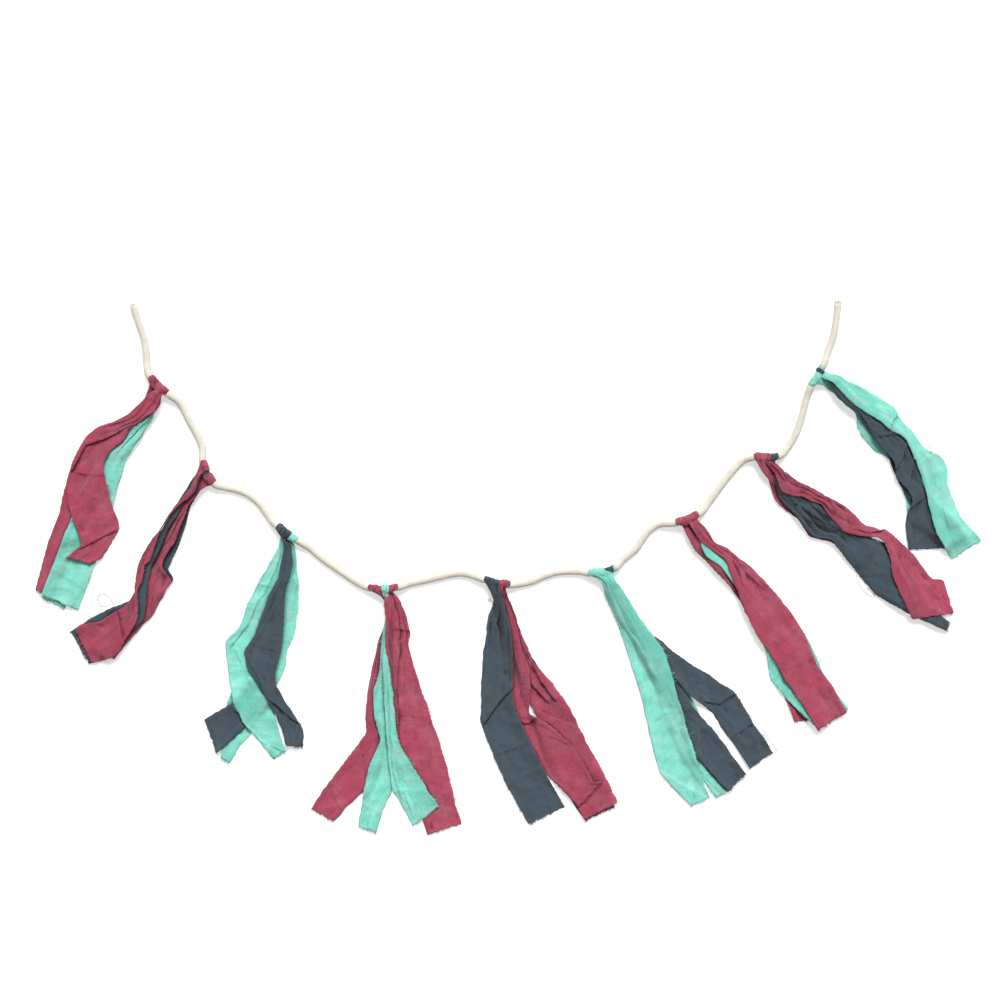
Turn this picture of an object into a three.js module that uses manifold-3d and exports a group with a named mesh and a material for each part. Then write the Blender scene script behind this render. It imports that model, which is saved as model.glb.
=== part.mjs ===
// A tassel garland that lies on a table: a cotton rope in a loose wave, with nine tassels on it.
// Each tassel is two torn strips of cotton cloth in two colours. The strips lie together, are folded
// in half and go round the rope in a lark's head knot, so that four tails leave each knot.
// Millimetres. +X points to the right of the rope's wave, +Y from the tails to the rope's ends, and
// +Z up off the table. The origin is under the middle of the garland, on the table.
import * as THREE from 'three';
import { mergeVertices } from 'three/addons/utils/BufferGeometryUtils.js';
import Module from 'manifold-3d';

const wasm = await Module();
wasm.setup();

// Driving dimensions
const ropeDiameter = 7.2;
const stripWidth = 40;
const tailLength = 250;
const clothThickness = 0.9;
const layerGap = 0.5;
const ropeClearance = 0.6;
const tableGap = 0.3;

// One pixel of the photograph on the table
const pixelSize = 1;

// Rope: its section, the reach of a knot to either side, and that of the rope's straight stretch
const ropeSides = 8;
const ropeSteps = 80;
const ropeFlatShare = 0.1;
const knotReach = 10;
const straightShare = 1.7;
const tableCut = 20;

// Knot: where a strip leaves the rope, and where its bar turns below the rope, in degrees round it
const leaveAngle = 50;
const turnAngle = 235;
const barAngle = 72;
const legSteps = 5;
const barSteps = 6;

// Folds: how high the middle of a tail stands, as shares of the fold's rise along the tail
const foldRise = 1.8;
const foldShares = [1, 0.85, 0.7, 0.5, 0.35, 0.2, 0.1, 0, 0, 0];

const cloth = {
  crimson: new THREE.Color(0xaf4e62),
  mint: new THREE.Color(0x8fdccb),
  slate: new THREE.Color(0x50606b),
};
const clothRoughness = 0.95;
const ropeColour = new THREE.Color(0xeae4d2);
const ropeRoughness = 0.9;

// The rope's free stretches between its knots, in pixels of the photograph. The first one starts at
// the rope's left end, and the last one stops at its right end.
const ropeStretches = [
  [[135, 306], [138, 320], [143, 342]],
  [[186, 412], [199, 434], [205, 450]],
  [[226, 490], [240, 494], [256, 503]],
  [[312, 552], [330, 566], [348, 578]],
  [[412, 583], [436, 577], [460, 572]],
  [[524, 584], [552, 575], [580, 571]],
  [[627, 558], [641, 538], [657, 525]],
  [[708, 506], [724, 478], [742, 460]],
  [[787, 450], [799, 426], [806, 400]],
  [[829, 348], [835, 326], [838, 303]],
];

// The tassels from left to right. ropePixel is the knot's place on the rope, tailPixel the point that
// the tails' tables start from, ropeTurn and tailTurn the ways of the rope and the tails in degrees
// from +X. legShares are the stretches of rope that each strip's two legs cover, from the knot's
// middle, as shares of the knot's reach. The inner strip lies on the rope, the outer one over it.
// order names the tails from the table upwards: strip, then leg.
// A row of a tail's shares is [along, left, right] or [left along, left, right along, right]: along is
// a share of the tail's length, and left and right are the edges as shares of the strip's width.
const tassels = [
  {
    ropePixel: [159, 385], tailPixel: [158, 388], ropeTurn: -40, tailTurn: -111,
    order: ['inner left', 'inner right', 'outer left', 'outer right'],
    inner: {
      colour: 'mint',
      legShares: [[-1, -0.2], [0.15, 0.85]],
      leftShares: [
        [0.06, -0.18, -0.02], [0.14, -0.2, 0], [0.22, -0.35, -0.02], [0.3, -0.5, -0.1],
        [0.42, -0.55, -0.15], [0.55, -0.7, -0.05], [0.7, -0.8, 0.05], [0.85, -0.8, 0.06],
        [0.945, -0.8, 0.955, -0.2],
      ],
      rightShares: [
        [0.06, 0.02, 0.18], [0.13, 0, 0.12], [0.2, -0.25, 0.08], [0.3, -0.45, -0.05],
        [0.4, -0.5, -0.06], [0.5, -0.72, 0], [0.62, -0.83, 0.1], [0.78, -0.84, 0.12],
        [0.93, -0.84, 0.94, 0.12],
      ],
    },
    outer: {
      colour: 'crimson',
      legShares: [[-1.3, -0.1], [0.05, 1]],
      leftShares: [
        [0.06, -0.18, -0.02], [0.12, -0.3, -0.05], [0.2, -0.75, -0.45], [0.28, -1.15, -0.8],
        [0.4, -1.28, -0.9], [0.5, -1.25, -0.87], [0.6, -1.17, -0.85], [0.75, -1.13, -0.85],
        [0.92, -1.05, 0.93, -0.88],
      ],
      rightShares: [
        [0.06, 0, 0.17], [0.1, -0.25, 0.13, 0.1], [0.17, -0.6, 0.2, -0.3], [0.23, -1, 0.27, -0.75],
        [0.31, -1.28, 0.33, -0.62], [0.42, -1.28, 0.4, -0.45], [0.5, -1.22, 0.5, 0],
        [0.58, -0.97, 0.57, 0.28], [0.64, -0.6, 0.64, 0.33], [0.69, -0.35, 0.72, 0.25],
        [0.76, -0.58, 0.745, 0.08],
      ],
    },
  },
  {
    ropePixel: [209, 473], tailPixel: [207, 480], ropeTurn: -66, tailTurn: -119,
    order: ['inner right', 'outer right', 'inner left', 'outer left'],
    inner: {
      colour: 'slate',
      legShares: [[-0.9, -0.1], [0.05, 0.7]],
      leftShares: [
        [0.06, -0.36, -0.2], [0.12, -0.36, -0.22], [0.2, -0.4, -0.2], [0.3, -0.34, -0.12],
        [0.4, -0.3, -0.1], [0.5, -0.15, 0.1], [0.57, 0.02, 0.3], [0.62, 0.1, 0.32],
        [0.7, -0.2, 0.15], [0.8, -0.5, 0],
      ],
      rightShares: [
        [0.06, -0.12, 0.02], [0.12, -0.12, 0], [0.2, -0.1, 0.06], [0.3, -0.05, 0.16],
        [0.39, 0, 0.21], [0.5, -0.12, 0.25], [0.56, -0.12, 0.62, 0.25], [0.67, -0.6, 0.74, 0.2],
        [0.8, -1.1, 0.87, -0.35],
      ],
    },
    outer: {
      colour: 'crimson',
      legShares: [[-1.3, -0.3], [0.2, 1]],
      leftShares: [
        [0.06, -0.36, -0.2], [0.12, -0.38, -0.26], [0.2, -0.42, -0.3], [0.3, -0.48, -0.24],
        [0.4, -0.48, -0.25], [0.47, -0.36, -0.15], [0.54, -0.14, 0.02], [0.62, -0.3, 0.17],
        [0.7, -0.62, 0.22], [0.77, -0.97, 0.78, 0.18], [0.8, -0.93, 0.86, -0.27],
      ],
      rightShares: [
        [0.06, -0.12, 0.01], [0.12, -0.13, -0.04], [0.2, -0.1, 0], [0.3, -0.12, 0.04],
        [0.39, -0.1, 0.08], [0.42, -0.05, 0.46], [0.5, 0, 0.47], [0.58, 0.15, 0.44],
        [0.66, 0.1, 0.3], [0.73, 0, 0.24], [0.8, -0.1, 0.17],
      ],
    },
  },
  {
    ropePixel: [287, 531], tailPixel: [287, 533], ropeTurn: -40, tailTurn: -98,
    order: ['inner right', 'outer right', 'inner left', 'outer left'],
    inner: {
      colour: 'mint',
      legShares: [[-0.9, -0.1], [0.1, 1.1]],
      leftShares: [
        [0.06, -0.17, 0], [0.12, -0.28, 0], [0.2, -0.52, 0], [0.3, -0.7, -0.15],
        [0.4, -0.85, -0.25], [0.46, -1.1, -0.3], [0.54, -1, -0.2], [0.62, -0.85, 0],
        [0.7, -0.72, 0.27], [0.77, -0.42, 0.45], [0.83, 0.02, 0.62], [0.9, 0.5, 0.855, 0.73],
      ],
      rightShares: [
        [0.06, 0.06, 0.27], [0.12, 0.1, 0.38], [0.2, 0.1, 0.48], [0.3, 0, 0.55],
        [0.38, 0, 0.53], [0.46, -0.1, 0.42], [0.52, -0.15, 0.43], [0.58, -0.3, 0.35],
        [0.66, -0.75, 0.1], [0.74, -0.93, -0.05], [0.82, -0.85, -0.15], [0.92, -0.85, 0.935, -0.55],
      ],
    },
    outer: {
      colour: 'slate',
      legShares: [[-1.2, 0], [0.15, 0.5]],
      leftShares: [
        [0.06, -0.08, 0.04], [0.12, 0, 0.24], [0.2, 0, 0.24], [0.26, -0.22, 0.23],
        [0.34, -0.35, 0.25], [0.42, -0.45, 0.28], [0.49, -0.65, 0.27], [0.55, -0.52, 0.21],
        [0.61, -0.2, 0.61, 0.27], [0.68, 0.2, 0.67, 0.65], [0.75, 0.5, 0.73, 0.98],
        [0.83, 0.72, 0.83, 1.15],
      ],
      rightShares: [
        [0.06, 0.06, 0.24], [0.12, 0.08, 0.28], [0.2, 0, 0.25], [0.3, -0.1, 0.25],
        [0.4, -0.15, 0.2], [0.5, -0.15, 0.2], [0.58, -0.25, 0.64, 0.15], [0.7, -0.75, 0.78, -0.3],
        [0.78, -1.38, 0.91, -0.95],
      ],
    },
  },
  {
    ropePixel: [388, 586], tailPixel: [388, 590], ropeTurn: 3, tailTurn: -90,
    order: ['inner left', 'inner right', 'outer left', 'outer right'],
    inner: {
      colour: 'crimson',
      legShares: [[-1.4, -0.15], [0.15, 1.1]],
      leftShares: [
        [0.06, -0.12, -0.01], [0.12, -0.1, 0], [0.2, -0.22, -0.03], [0.3, -0.38, -0.12],
        [0.4, -0.47, -0.25], [0.5, -0.57, -0.28], [0.57, -0.52, 0.58, -0.2],
        [0.64, -0.87, 0.68, -0.38], [0.73, -1.3, 0.8, -0.6], [0.8, -1.6, 0.87, -1.1],
        [0.87, -1.9, 0.92, -1.4],
      ],
      rightShares: [
        [0.06, 0.03, 0.3], [0.12, 0, 0.45], [0.17, 0, 0.55], [0.22, 0, 0.5],
        [0.32, 0.05, 0.68], [0.42, 0.15, 0.87], [0.52, 0.2, 1.08], [0.62, 0.25, 1.3],
        [0.72, 0.45, 1.5], [0.83, 0.7, 1.64], [0.975, 0.97, 0.93, 1.83],
      ],
    },
    outer: {
      colour: 'mint',
      legShares: [[-0.4, -0.03], [0.08, 0.35]],
      leftShares: [
        [0.06, -0.08, -0.01], [0.12, -0.12, -0.03], [0.2, -0.1, 0], [0.27, -0.17, 0],
        [0.35, -0.2, 0.03], [0.4, -0.37, 0.05], [0.5, -0.35, 0.05], [0.6, -0.18, 0.05],
        [0.7, -0.47, 0.1], [0.8, -0.6, 0.1], [0.88, -0.68, -0.15], [0.94, -0.75, 0.97, -0.33],
      ],
      rightShares: [
        [0.06, 0.01, 0.06], [0.12, -0.06, 0], [0.2, -0.06, 0.01], [0.27, -0.1, 0.05],
        [0.35, -0.08, 0.12], [0.45, -0.04, 0.18], [0.55, 0, 0.22], [0.62, 0, 0.3],
        [0.7, 0.08, 0.6], [0.8, 0.25, 0.77, 0.88], [0.94, 0.6, 0.86, 1.25],
      ],
    },
  },
  {
    ropePixel: [497, 581], tailPixel: [497, 583], ropeTurn: -13, tailTurn: -74.5,
    order: ['inner right', 'inner left', 'outer right', 'outer left'],
    inner: {
      colour: 'slate',
      legShares: [[-1.4, -0.05], [0.15, 1.15]],
      leftShares: [
        [0.06, -0.27, 0], [0.12, -0.42, 0.02], [0.2, -0.62, 0.03], [0.27, -0.87, -0.05],
        [0.36, -1.05, -0.2], [0.43, -1.17, -0.35], [0.52, -1.33, -0.4], [0.62, -1.25, -0.28],
        [0.75, -1.15, -0.15], [0.85, -1.02, 0], [0.96, -0.86, 0.93, 0.13],
      ],
      rightShares: [
        [0.06, 0.04, 0.2], [0.12, 0.05, 0.2], [0.2, 0.05, 0.22], [0.3, 0, 0.3],
        [0.4, 0.1, 0.5], [0.5, 0.1, 0.7], [0.6, 0.1, 0.9], [0.75, 0.1, 1.05],
        [0.88, 0.25, 1.2], [1.005, 0.52, 0.985, 1.35],
      ],
    },
    outer: {
      colour: 'crimson',
      legShares: [[0.05, 0.45], [0.56, 1]],
      leftShares: [
        [0.06, 0.03, 0.1], [0.12, 0.06, 0.12], [0.2, 0.03, 0.14], [0.3, -0.15, 0.1],
        [0.37, -0.18, 0.05], [0.45, -0.4, 0], [0.55, -0.4, 0.05], [0.62, -0.27, 0.4],
        [0.7, -0.2, 0.7], [0.79, -0.05, 0.9], [0.87, 0.2, 1], [0.945, 0.45, 0.87, 1.2],
      ],
      rightShares: [
        [0.06, 0.12, 0.18], [0.12, 0.12, 0.2], [0.2, 0.08, 0.23], [0.28, 0.05, 0.3],
        [0.36, 0, 0.42], [0.45, 0.02, 0.65], [0.55, 0.1, 0.88], [0.65, 0.1, 1],
        [0.75, 0.15, 1.12], [0.87, 0.3, 1.28], [1, 0.52, 0.97, 1.43],
      ],
    },
  },
  {
    ropePixel: [604, 570], tailPixel: [607, 575], ropeTurn: 9, tailTurn: -64,
    order: ['inner left', 'inner right', 'outer right', 'outer left'],
    inner: {
      colour: 'slate',
      legShares: [[-0.6, 0.05], [0.16, 0.9]],
      leftShares: [
        [0.06, -0.12, 0.02], [0.15, -0.1, 0.1], [0.27, -0.05, 0.2], [0.4, 0, 0.3],
        [0.5, 0.05, 0.42], [0.6, 0.1, 0.47], [0.7, 0.08, 0.55], [0.8, 0, 0.72],
        [0.9, 0.17, 0.85], [0.985, 0.35, 0.955, 0.95],
      ],
      rightShares: [
        [0.06, 0.05, 0.18], [0.15, 0.1, 0.22], [0.27, 0.15, 0.3], [0.33, 0.2, 0.45],
        [0.42, 0.3, 0.75], [0.5, 0.4, 1.03], [0.58, 0.55, 1.33], [0.65, 0.85, 0.64, 1.55],
        [0.74, 0.95, 1.62], [0.83, 0.98, 1.68], [0.94, 1.08, 0.925, 1.78],
      ],
    },
    outer: {
      colour: 'mint',
      legShares: [[-1.6, -0.05], [0.7, 1.1]],
      leftShares: [
        [0.06, -0.27, 0.02], [0.12, -0.3, 0.1], [0.2, -0.33, 0.2], [0.28, -0.38, 0.32],
        [0.37, -0.44, 0.42], [0.46, -0.54, 0.36], [0.57, -0.72, 0.23], [0.68, -0.82, 0.12],
        [0.8, -0.97, 0], [0.88, -0.8, -0.1], [0.97, -0.65, 0.975, -0.13],
      ],
      rightShares: [
        [0.06, 0.05, 0.18], [0.15, 0.05, 0.23], [0.27, 0.05, 0.28], [0.4, 0, 0.38],
        [0.5, -0.1, 0.3], [0.62, -0.15, 0.18], [0.72, -0.2, 0.06], [0.8, -0.2, 0],
        [0.88, -0.12, 0.12], [0.985, 0, 0.985, 0.33],
      ],
    },
  },
  {
    ropePixel: [687, 518], tailPixel: [690, 522], ropeTurn: 22, tailTurn: -58,
    order: ['inner left', 'outer left', 'inner right', 'outer right'],
    inner: {
      colour: 'mint',
      legShares: [[-0.9, -0.2], [0.15, 0.8]],
      leftShares: [
        [0.06, -0.2, -0.05], [0.14, -0.18, 0], [0.22, -0.08, 0.2], [0.32, 0.1, 0.6],
        [0.45, 0.2, 0.85], [0.58, 0.2, 0.9], [0.68, 0.15, 0.92], [0.8, 0.1, 0.89],
        [0.96, 0.1, 0.965, 0.87],
      ],
      rightShares: [
        [0.06, 0.02, 0.12], [0.11, -0.1, 0.05], [0.15, -0.12, 0.1], [0.2, 0.03, 0.26],
        [0.27, 0.08, 0.4], [0.36, 0.1, 0.7], [0.48, 0, 0.8], [0.6, -0.1, 0.8],
        [0.7, -0.37, 0.75], [0.8, -0.3, 0.7], [0.9, -0.18, 0.7], [0.96, -0.05, 0.7],
      ],
    },
    outer: {
      colour: 'crimson',
      legShares: [[-1.2, -0.1], [0.05, 1.1]],
      leftShares: [
        [0.06, -0.26, -0.05], [0.1, -0.27, -0.1], [0.16, -0.2, -0.03], [0.24, -0.1, 0.05],
        [0.3, -0.02, 0.12], [0.4, 0.02, 0.3], [0.5, 0, 0.35], [0.6, -0.05, 0.4],
        [0.7, -0.15, 0.4], [0.8, -0.33, 0.35], [0.89, -0.42, 0.93, 0.1],
      ],
      rightShares: [
        [0.06, 0, 0.23], [0.12, 0.05, 0.25], [0.16, 0.15, 0.42], [0.21, 0.25, 0.52],
        [0.28, 0.12, 0.67], [0.33, 0.04, 0.76], [0.42, -0.02, 0.87], [0.52, -0.08, 0.94],
        [0.62, -0.08, 0.93], [0.72, -0.1, 0.87], [0.85, -0.05, 0.83], [0.97, -0.08, 0.97, 0.8],
      ],
    },
  },
  {
    ropePixel: [765, 455], tailPixel: [767, 458], ropeTurn: -1, tailTurn: -45,
    order: ['inner left', 'outer left', 'inner right', 'outer right'],
    inner: {
      colour: 'slate',
      legShares: [[-0.8, -0.15], [0.1, 1.1]],
      leftShares: [
        [0.06, -0.28, -0.14], [0.12, -0.2, 0.05], [0.2, -0.1, 0.22], [0.27, 0, 0.36],
        [0.36, 0.05, 0.45], [0.46, 0, 0.45], [0.56, -0.1, 0.4], [0.66, -0.2, 0.3],
        [0.78, -0.2, 0.25], [0.9, -0.05, 0.3], [0.965, 0.05, 0.965, 0.3],
      ],
      rightShares: [
        [0.06, -0.12, -0.02], [0.1, -0.35, -0.15], [0.15, -0.5, -0.15], [0.21, -0.55, -0.02],
        [0.28, -0.57, 0.03], [0.35, -0.62, 0.06], [0.41, -0.33, 0.08], [0.48, -0.38, 0.25],
        [0.58, -0.42, 0.52], [0.69, -0.54, 0.3], [0.8, -0.32, 0.1], [0.9, -0.12, 0.22],
        [0.985, 0.05, 0.965, 0.3],
      ],
    },
    outer: {
      colour: 'crimson',
      legShares: [[-1.2, -0.1], [0.05, 0.4]],
      leftShares: [
        [0.06, -0.32, -0.14], [0.1, -0.47, -0.25], [0.15, -0.61, -0.3], [0.2, -0.62, -0.2],
        [0.27, -0.55, -0.1], [0.34, -0.64, 0.35, -0.1], [0.4, -0.3, 0.4, 0.05], [0.5, -0.25, 0.2],
        [0.6, -0.3, 0.3], [0.7, -0.35, 0.2], [0.8, -0.2, 0.15],
      ],
      rightShares: [
        [0.06, -0.1, 0.04], [0.11, -0.3, 0.05], [0.16, -0.28, 0.12], [0.22, -0.05, 0.25],
        [0.28, 0.02, 0.4], [0.35, 0.03, 0.54], [0.43, 0.06, 0.51], [0.48, 0.3, 0.5],
        [0.52, 0.45, 0.53, 0.75], [0.56, 0.62, 0.57, 0.85], [0.63, 0.32, 0.84], [0.7, 0.05, 0.83],
        [0.78, -0.15, 0.79, 0.8], [0.85, -0.32, 0.95, 0.55],
      ],
    },
  },
  {
    ropePixel: [817, 374], tailPixel: [820, 378], ropeTurn: 56, tailTurn: -54,
    order: ['inner left', 'outer left', 'inner right', 'outer right'],
    inner: {
      colour: 'mint',
      legShares: [[-1.3, -0.1], [0.15, 1.05]],
      leftShares: [
        [0.06, -0.08, 0.02], [0.12, 0.05, 0.12], [0.2, 0.15, 0.3], [0.24, 0, 0.4],
        [0.3, -0.02, 0.4], [0.36, 0.02, 0.5], [0.42, 0.18, 0.7], [0.47, 0.25, 1.05],
        [0.53, 0.4, 1.32], [0.6, 0.3, 1.22], [0.68, 0.2, 0.98], [0.78, 0.1, 0.8],
        [0.86, 0.08, 0.8],
      ],
      rightShares: [
        [0.06, 0.06, 0.45], [0.12, 0.18, 0.67], [0.2, 0.28, 0.92], [0.27, 0.4, 1.05],
        [0.3, 0.55, 0.3, 1.08], [0.35, 0.65, 1.05], [0.41, 0.7, 1.1], [0.5, 0.6, 1.05],
        [0.6, 0.42, 1.05], [0.7, 0.17, 0.97], [0.77, 0.05, 0.8], [0.9, 0, 0.87],
      ],
    },
    outer: {
      colour: 'slate',
      legShares: [[-0.4, 0.03], [0.22, 0.6]],
      leftShares: [
        [0.06, -0.06, 0.02], [0.12, 0.07, 0.17], [0.2, 0.2, 0.28], [0.3, 0.2, 0.45],
        [0.4, 0.22, 0.7], [0.5, 0.1, 0.6], [0.6, 0.05, 0.45], [0.7, 0, 0.5],
        [0.8, 0.05, 0.6], [0.86, 0.1, 0.6],
      ],
      rightShares: [
        [0.06, 0.05, 0.18], [0.12, 0.08, 0.2], [0.2, 0.18, 0.3], [0.27, 0.18, 0.5],
        [0.33, 0.18, 0.68], [0.39, 0.2, 0.79], [0.44, 0.22, 0.72], [0.5, 0.08, 0.64],
        [0.57, 0.06, 0.5], [0.62, -0.1, 0.4], [0.68, -0.5, 0.2], [0.73, -0.75, 0.82, 0.02],
      ],
    },
  },
];

const ropeRadius = ropeDiameter / 2;
const ropeRest = ropeRadius - ropeFlatShare * ropeDiameter;
const innerRadius = ropeRadius + ropeClearance;
const outerRadius = innerRadius + clothThickness + layerGap;
const ropeLift = outerRadius + clothThickness + tableGap;
const layerPitch = clothThickness + layerGap;

// A pixel of the photograph as a point over the table
function place(pixel, height) {
  return new THREE.Vector3(pixel[0] * pixelSize, -pixel[1] * pixelSize, height);
}

// The level way that an angle from +X points
function way(degrees) {
  const angle = THREE.MathUtils.degToRad(degrees);
  return new THREE.Vector3(Math.cos(angle), Math.sin(angle), 0);
}

// Rope

function ropeRoute() {
  const points = [];
  ropeStretches.forEach((stretch, index) => {
    for (const pixel of stretch) points.push(place(pixel, ropeRest));
    const tassel = tassels[index];
    if (!tassel) return;
    const knot = place(tassel.ropePixel, ropeLift);
    for (const share of [-straightShare, -1, 0, 1, straightShare]) {
      points.push(knot.clone().addScaledVector(way(tassel.ropeTurn), share * knotReach));
    }
  });
  const route = new THREE.CatmullRomCurve3(points, false, 'centripetal');
  route.arcLengthDivisions = ropeSteps * ropeSides;
  return route;
}

function toManifold(geometry) {
  const bare = geometry.clone();
  bare.deleteAttribute('normal');
  bare.deleteAttribute('uv');
  const merged = mergeVertices(bare);
  return new wasm.Manifold(new wasm.Mesh({
    numProp: 3,
    vertProperties: new Float32Array(merged.attributes.position.array),
    triVerts: new Uint32Array(merged.index.array),
  }));
}

function toGeometry(solid) {
  const mesh = solid.getMesh();
  const geometry = new THREE.BufferGeometry();
  geometry.setAttribute('position', new THREE.BufferAttribute(new Float32Array(mesh.vertProperties), 3));
  geometry.setIndex(new THREE.BufferAttribute(new Uint32Array(mesh.triVerts), 1));
  geometry.computeVertexNormals();
  return geometry;
}

// The rope is round, and flat underneath where it lies on the table
function ropeGeometry() {
  const section = new THREE.Shape();
  for (let side = 0; side < ropeSides; side += 1) {
    const angle = (side + 0.5) * 2 * Math.PI / ropeSides;
    const corner = [ropeRadius * Math.cos(angle), ropeRadius * Math.sin(angle)];
    if (side === 0) section.moveTo(...corner);
    else section.lineTo(...corner);
  }
  section.closePath();
  const route = ropeRoute();
  const tube = new THREE.ExtrudeGeometry(section, { steps: ropeSteps, extrudePath: route });
  const span = tailLength * tassels.length;
  const table = new THREE.BoxGeometry(span, span, tableCut);
  table.translate(0, 0, -tableCut / 2);
  return toGeometry(toManifold(tube).subtract(toManifold(table)));
}

// Tails

// A tail's stations: the left, middle and right points of its cloth, still at table height
function tailStations(tassel, rows) {
  const root = place(tassel.tailPixel, 0);
  const along = way(tassel.tailTurn);
  const across = way(tassel.tailTurn + 90);
  const edge = (alongShare, acrossShare) => root.clone()
    .addScaledVector(along, alongShare * tailLength)
    .addScaledVector(across, acrossShare * stripWidth);
  return rows.map((row) => {
    const [leftAlong, left, rightAlong, right] = row.length === 3 ? [row[0], row[1], row[0], row[2]] : row;
    const points = [edge(leftAlong, left), edge(rightAlong, right)];
    points.splice(1, 0, points[0].clone().lerp(points[1], 0.5));
    return { points, height: 0, rise: 0 };
  });
}

// How high the middle of a station stands over its edges
function stationRise(index, count) {
  const spot = index / (count - 1) * (foldShares.length - 1);
  const low = Math.min(Math.floor(spot), foldShares.length - 2);
  return foldRise * THREE.MathUtils.lerp(foldShares[low], foldShares[low + 1], spot - low);
}

// Whether two triangles overlap in plan or come closer than the gap
function trianglesMeet(one, two, gap) {
  for (const [a, b] of [[one, two], [two, one]]) {
    for (let i = 0; i < 3; i += 1) {
      const p = a[i];
      const q = a[(i + 1) % 3];
      const normal = new THREE.Vector2(q.y - p.y, p.x - q.x);
      if (normal.lengthSq() === 0) continue;
      normal.normalize();
      const reach = (points) => points.map((point) => point.x * normal.x + point.y * normal.y);
      const ra = reach(a);
      const rb = reach(b);
      if (Math.max(...ra) + gap < Math.min(...rb) || Math.max(...rb) + gap < Math.min(...ra)) return false;
    }
  }
  return true;
}

function panels(first, second) {
  const triangles = [];
  for (let i = 0; i < 2; i += 1) {
    triangles.push([first.points[i], first.points[i + 1], second.points[i]]);
    triangles.push([first.points[i + 1], second.points[i + 1], second.points[i]]);
  }
  return triangles;
}

// Lays each tail on the tails below it, from the table upwards
function layTails(tails) {
  tails.forEach((tail, level) => {
    tail.forEach((station, index) => {
      station.rise = stationRise(index, tail.length);
    });
    for (const lower of tails.slice(0, level)) {
      for (let i = 0; i + 1 < tail.length; i += 1) {
        for (let j = 0; j + 1 < lower.length; j += 1) {
          const meet = panels(tail[i], tail[i + 1]).some((upperPanel) => (
            panels(lower[j], lower[j + 1]).some((panel) => trianglesMeet(upperPanel, panel, layerGap))
          ));
          if (!meet) continue;
          const top = Math.max(lower[j].height + lower[j].rise, lower[j + 1].height + lower[j + 1].rise);
          tail[i].height = Math.max(tail[i].height, top + layerPitch);
          tail[i + 1].height = Math.max(tail[i + 1].height, top + layerPitch);
        }
      }
    }
  });
}

// Knots

// A point of a strip on the rope: reach along the rope, angle round it, radius from its axis
function wrapPoint(frame, reach, degrees, radius) {
  const angle = THREE.MathUtils.degToRad(degrees);
  return frame.middle.clone()
    .addScaledVector(frame.along, reach)
    .addScaledVector(frame.out, radius * Math.cos(angle))
    .add(new THREE.Vector3(0, 0, radius * Math.sin(angle)));
}

// One ring across the cloth: three points on its lower face and three on its upper face
function wrapRing(frame, radius, outerEdge, innerEdge) {
  const middleEdge = [(outerEdge[0] + innerEdge[0]) / 2, (outerEdge[1] + innerEdge[1]) / 2];
  const edges = [outerEdge, middleEdge, innerEdge];
  return {
    lower: edges.map((edge) => wrapPoint(frame, edge[0], edge[1], radius)),
    upper: edges.map((edge) => wrapPoint(frame, edge[0], edge[1], radius + clothThickness)),
  };
}

// The strip over the rope, under it, across in a bar below the tails, and back the same way
function knotRings(frame, radius, legShares) {
  const rings = [];
  const [[leftFar, leftNear], [rightNear, rightFar]] = legShares.map((leg) => (
    leg.map((share) => share * knotReach)
  ));
  const legAngle = (step) => leaveAngle + (turnAngle - leaveAngle) * step / legSteps;
  for (let step = 0; step < legSteps; step += 1) {
    rings.push(wrapRing(frame, radius, [leftFar, legAngle(step)], [leftNear, legAngle(step)]));
  }
  const farMiddle = (leftFar + rightFar) / 2;
  const farReach = (rightFar - leftFar) / 2;
  const nearMiddle = (leftNear + rightNear) / 2;
  const nearReach = (rightNear - leftNear) / 2;
  const nearAngle = THREE.MathUtils.radToDeg(nearReach / radius);
  for (let step = 0; step <= barSteps; step += 1) {
    const turn = Math.PI * step / barSteps;
    rings.push(wrapRing(
      frame,
      radius,
      [farMiddle - farReach * Math.cos(turn), turnAngle + barAngle * Math.sin(turn)],
      [nearMiddle - nearReach * Math.cos(turn), turnAngle + nearAngle * Math.sin(turn)],
    ));
  }
  for (let step = legSteps - 1; step >= 0; step -= 1) {
    rings.push(wrapRing(frame, radius, [rightFar, legAngle(step)], [rightNear, legAngle(step)]));
  }
  return rings;
}

function tailRing(station, flip) {
  const order = flip ? [2, 1, 0] : [0, 1, 2];
  const at = (base) => order.map((i) => {
    const point = station.points[i].clone();
    point.z = base + station.height + (i === 1 ? station.rise : 0);
    return point;
  });
  return { lower: at(0), upper: at(clothThickness) };
}

// A closed strip through its rings, with a flat end on the first and the last ring
function stripGeometry(rings) {
  const corners = rings.flatMap((ring) => [...ring.lower, ...ring.upper.slice().reverse()]);
  const loop = 6;
  const faces = [];
  const quad = (a, b, c, d) => faces.push(a, b, c, a, c, d);
  for (let ring = 0; ring + 1 < rings.length; ring += 1) {
    for (let i = 0; i < loop; i += 1) {
      const a = ring * loop + i;
      const b = ring * loop + (i + 1) % loop;
      quad(a, b, b + loop, a + loop);
    }
  }
  const last = (rings.length - 1) * loop;
  quad(5, 4, 1, 0);
  quad(4, 3, 2, 1);
  quad(last, last + 1, last + 4, last + 5);
  quad(last + 1, last + 2, last + 3, last + 4);
  const geometry = new THREE.BufferGeometry();
  geometry.setAttribute('position', new THREE.Float32BufferAttribute(
    corners.flatMap((corner) => corner.toArray()),
    3,
  ));
  if (signedVolume(corners, faces) < 0) faces.reverse();
  geometry.setIndex(faces);
  geometry.computeVertexNormals();
  return geometry;
}

function signedVolume(corners, faces) {
  let volume = 0;
  for (let i = 0; i < faces.length; i += 3) {
    const [a, b, c] = faces.slice(i, i + 3).map((corner) => corners[corner]);
    volume += a.dot(b.clone().cross(c)) / 6;
  }
  return volume;
}

// Tassels

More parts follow.
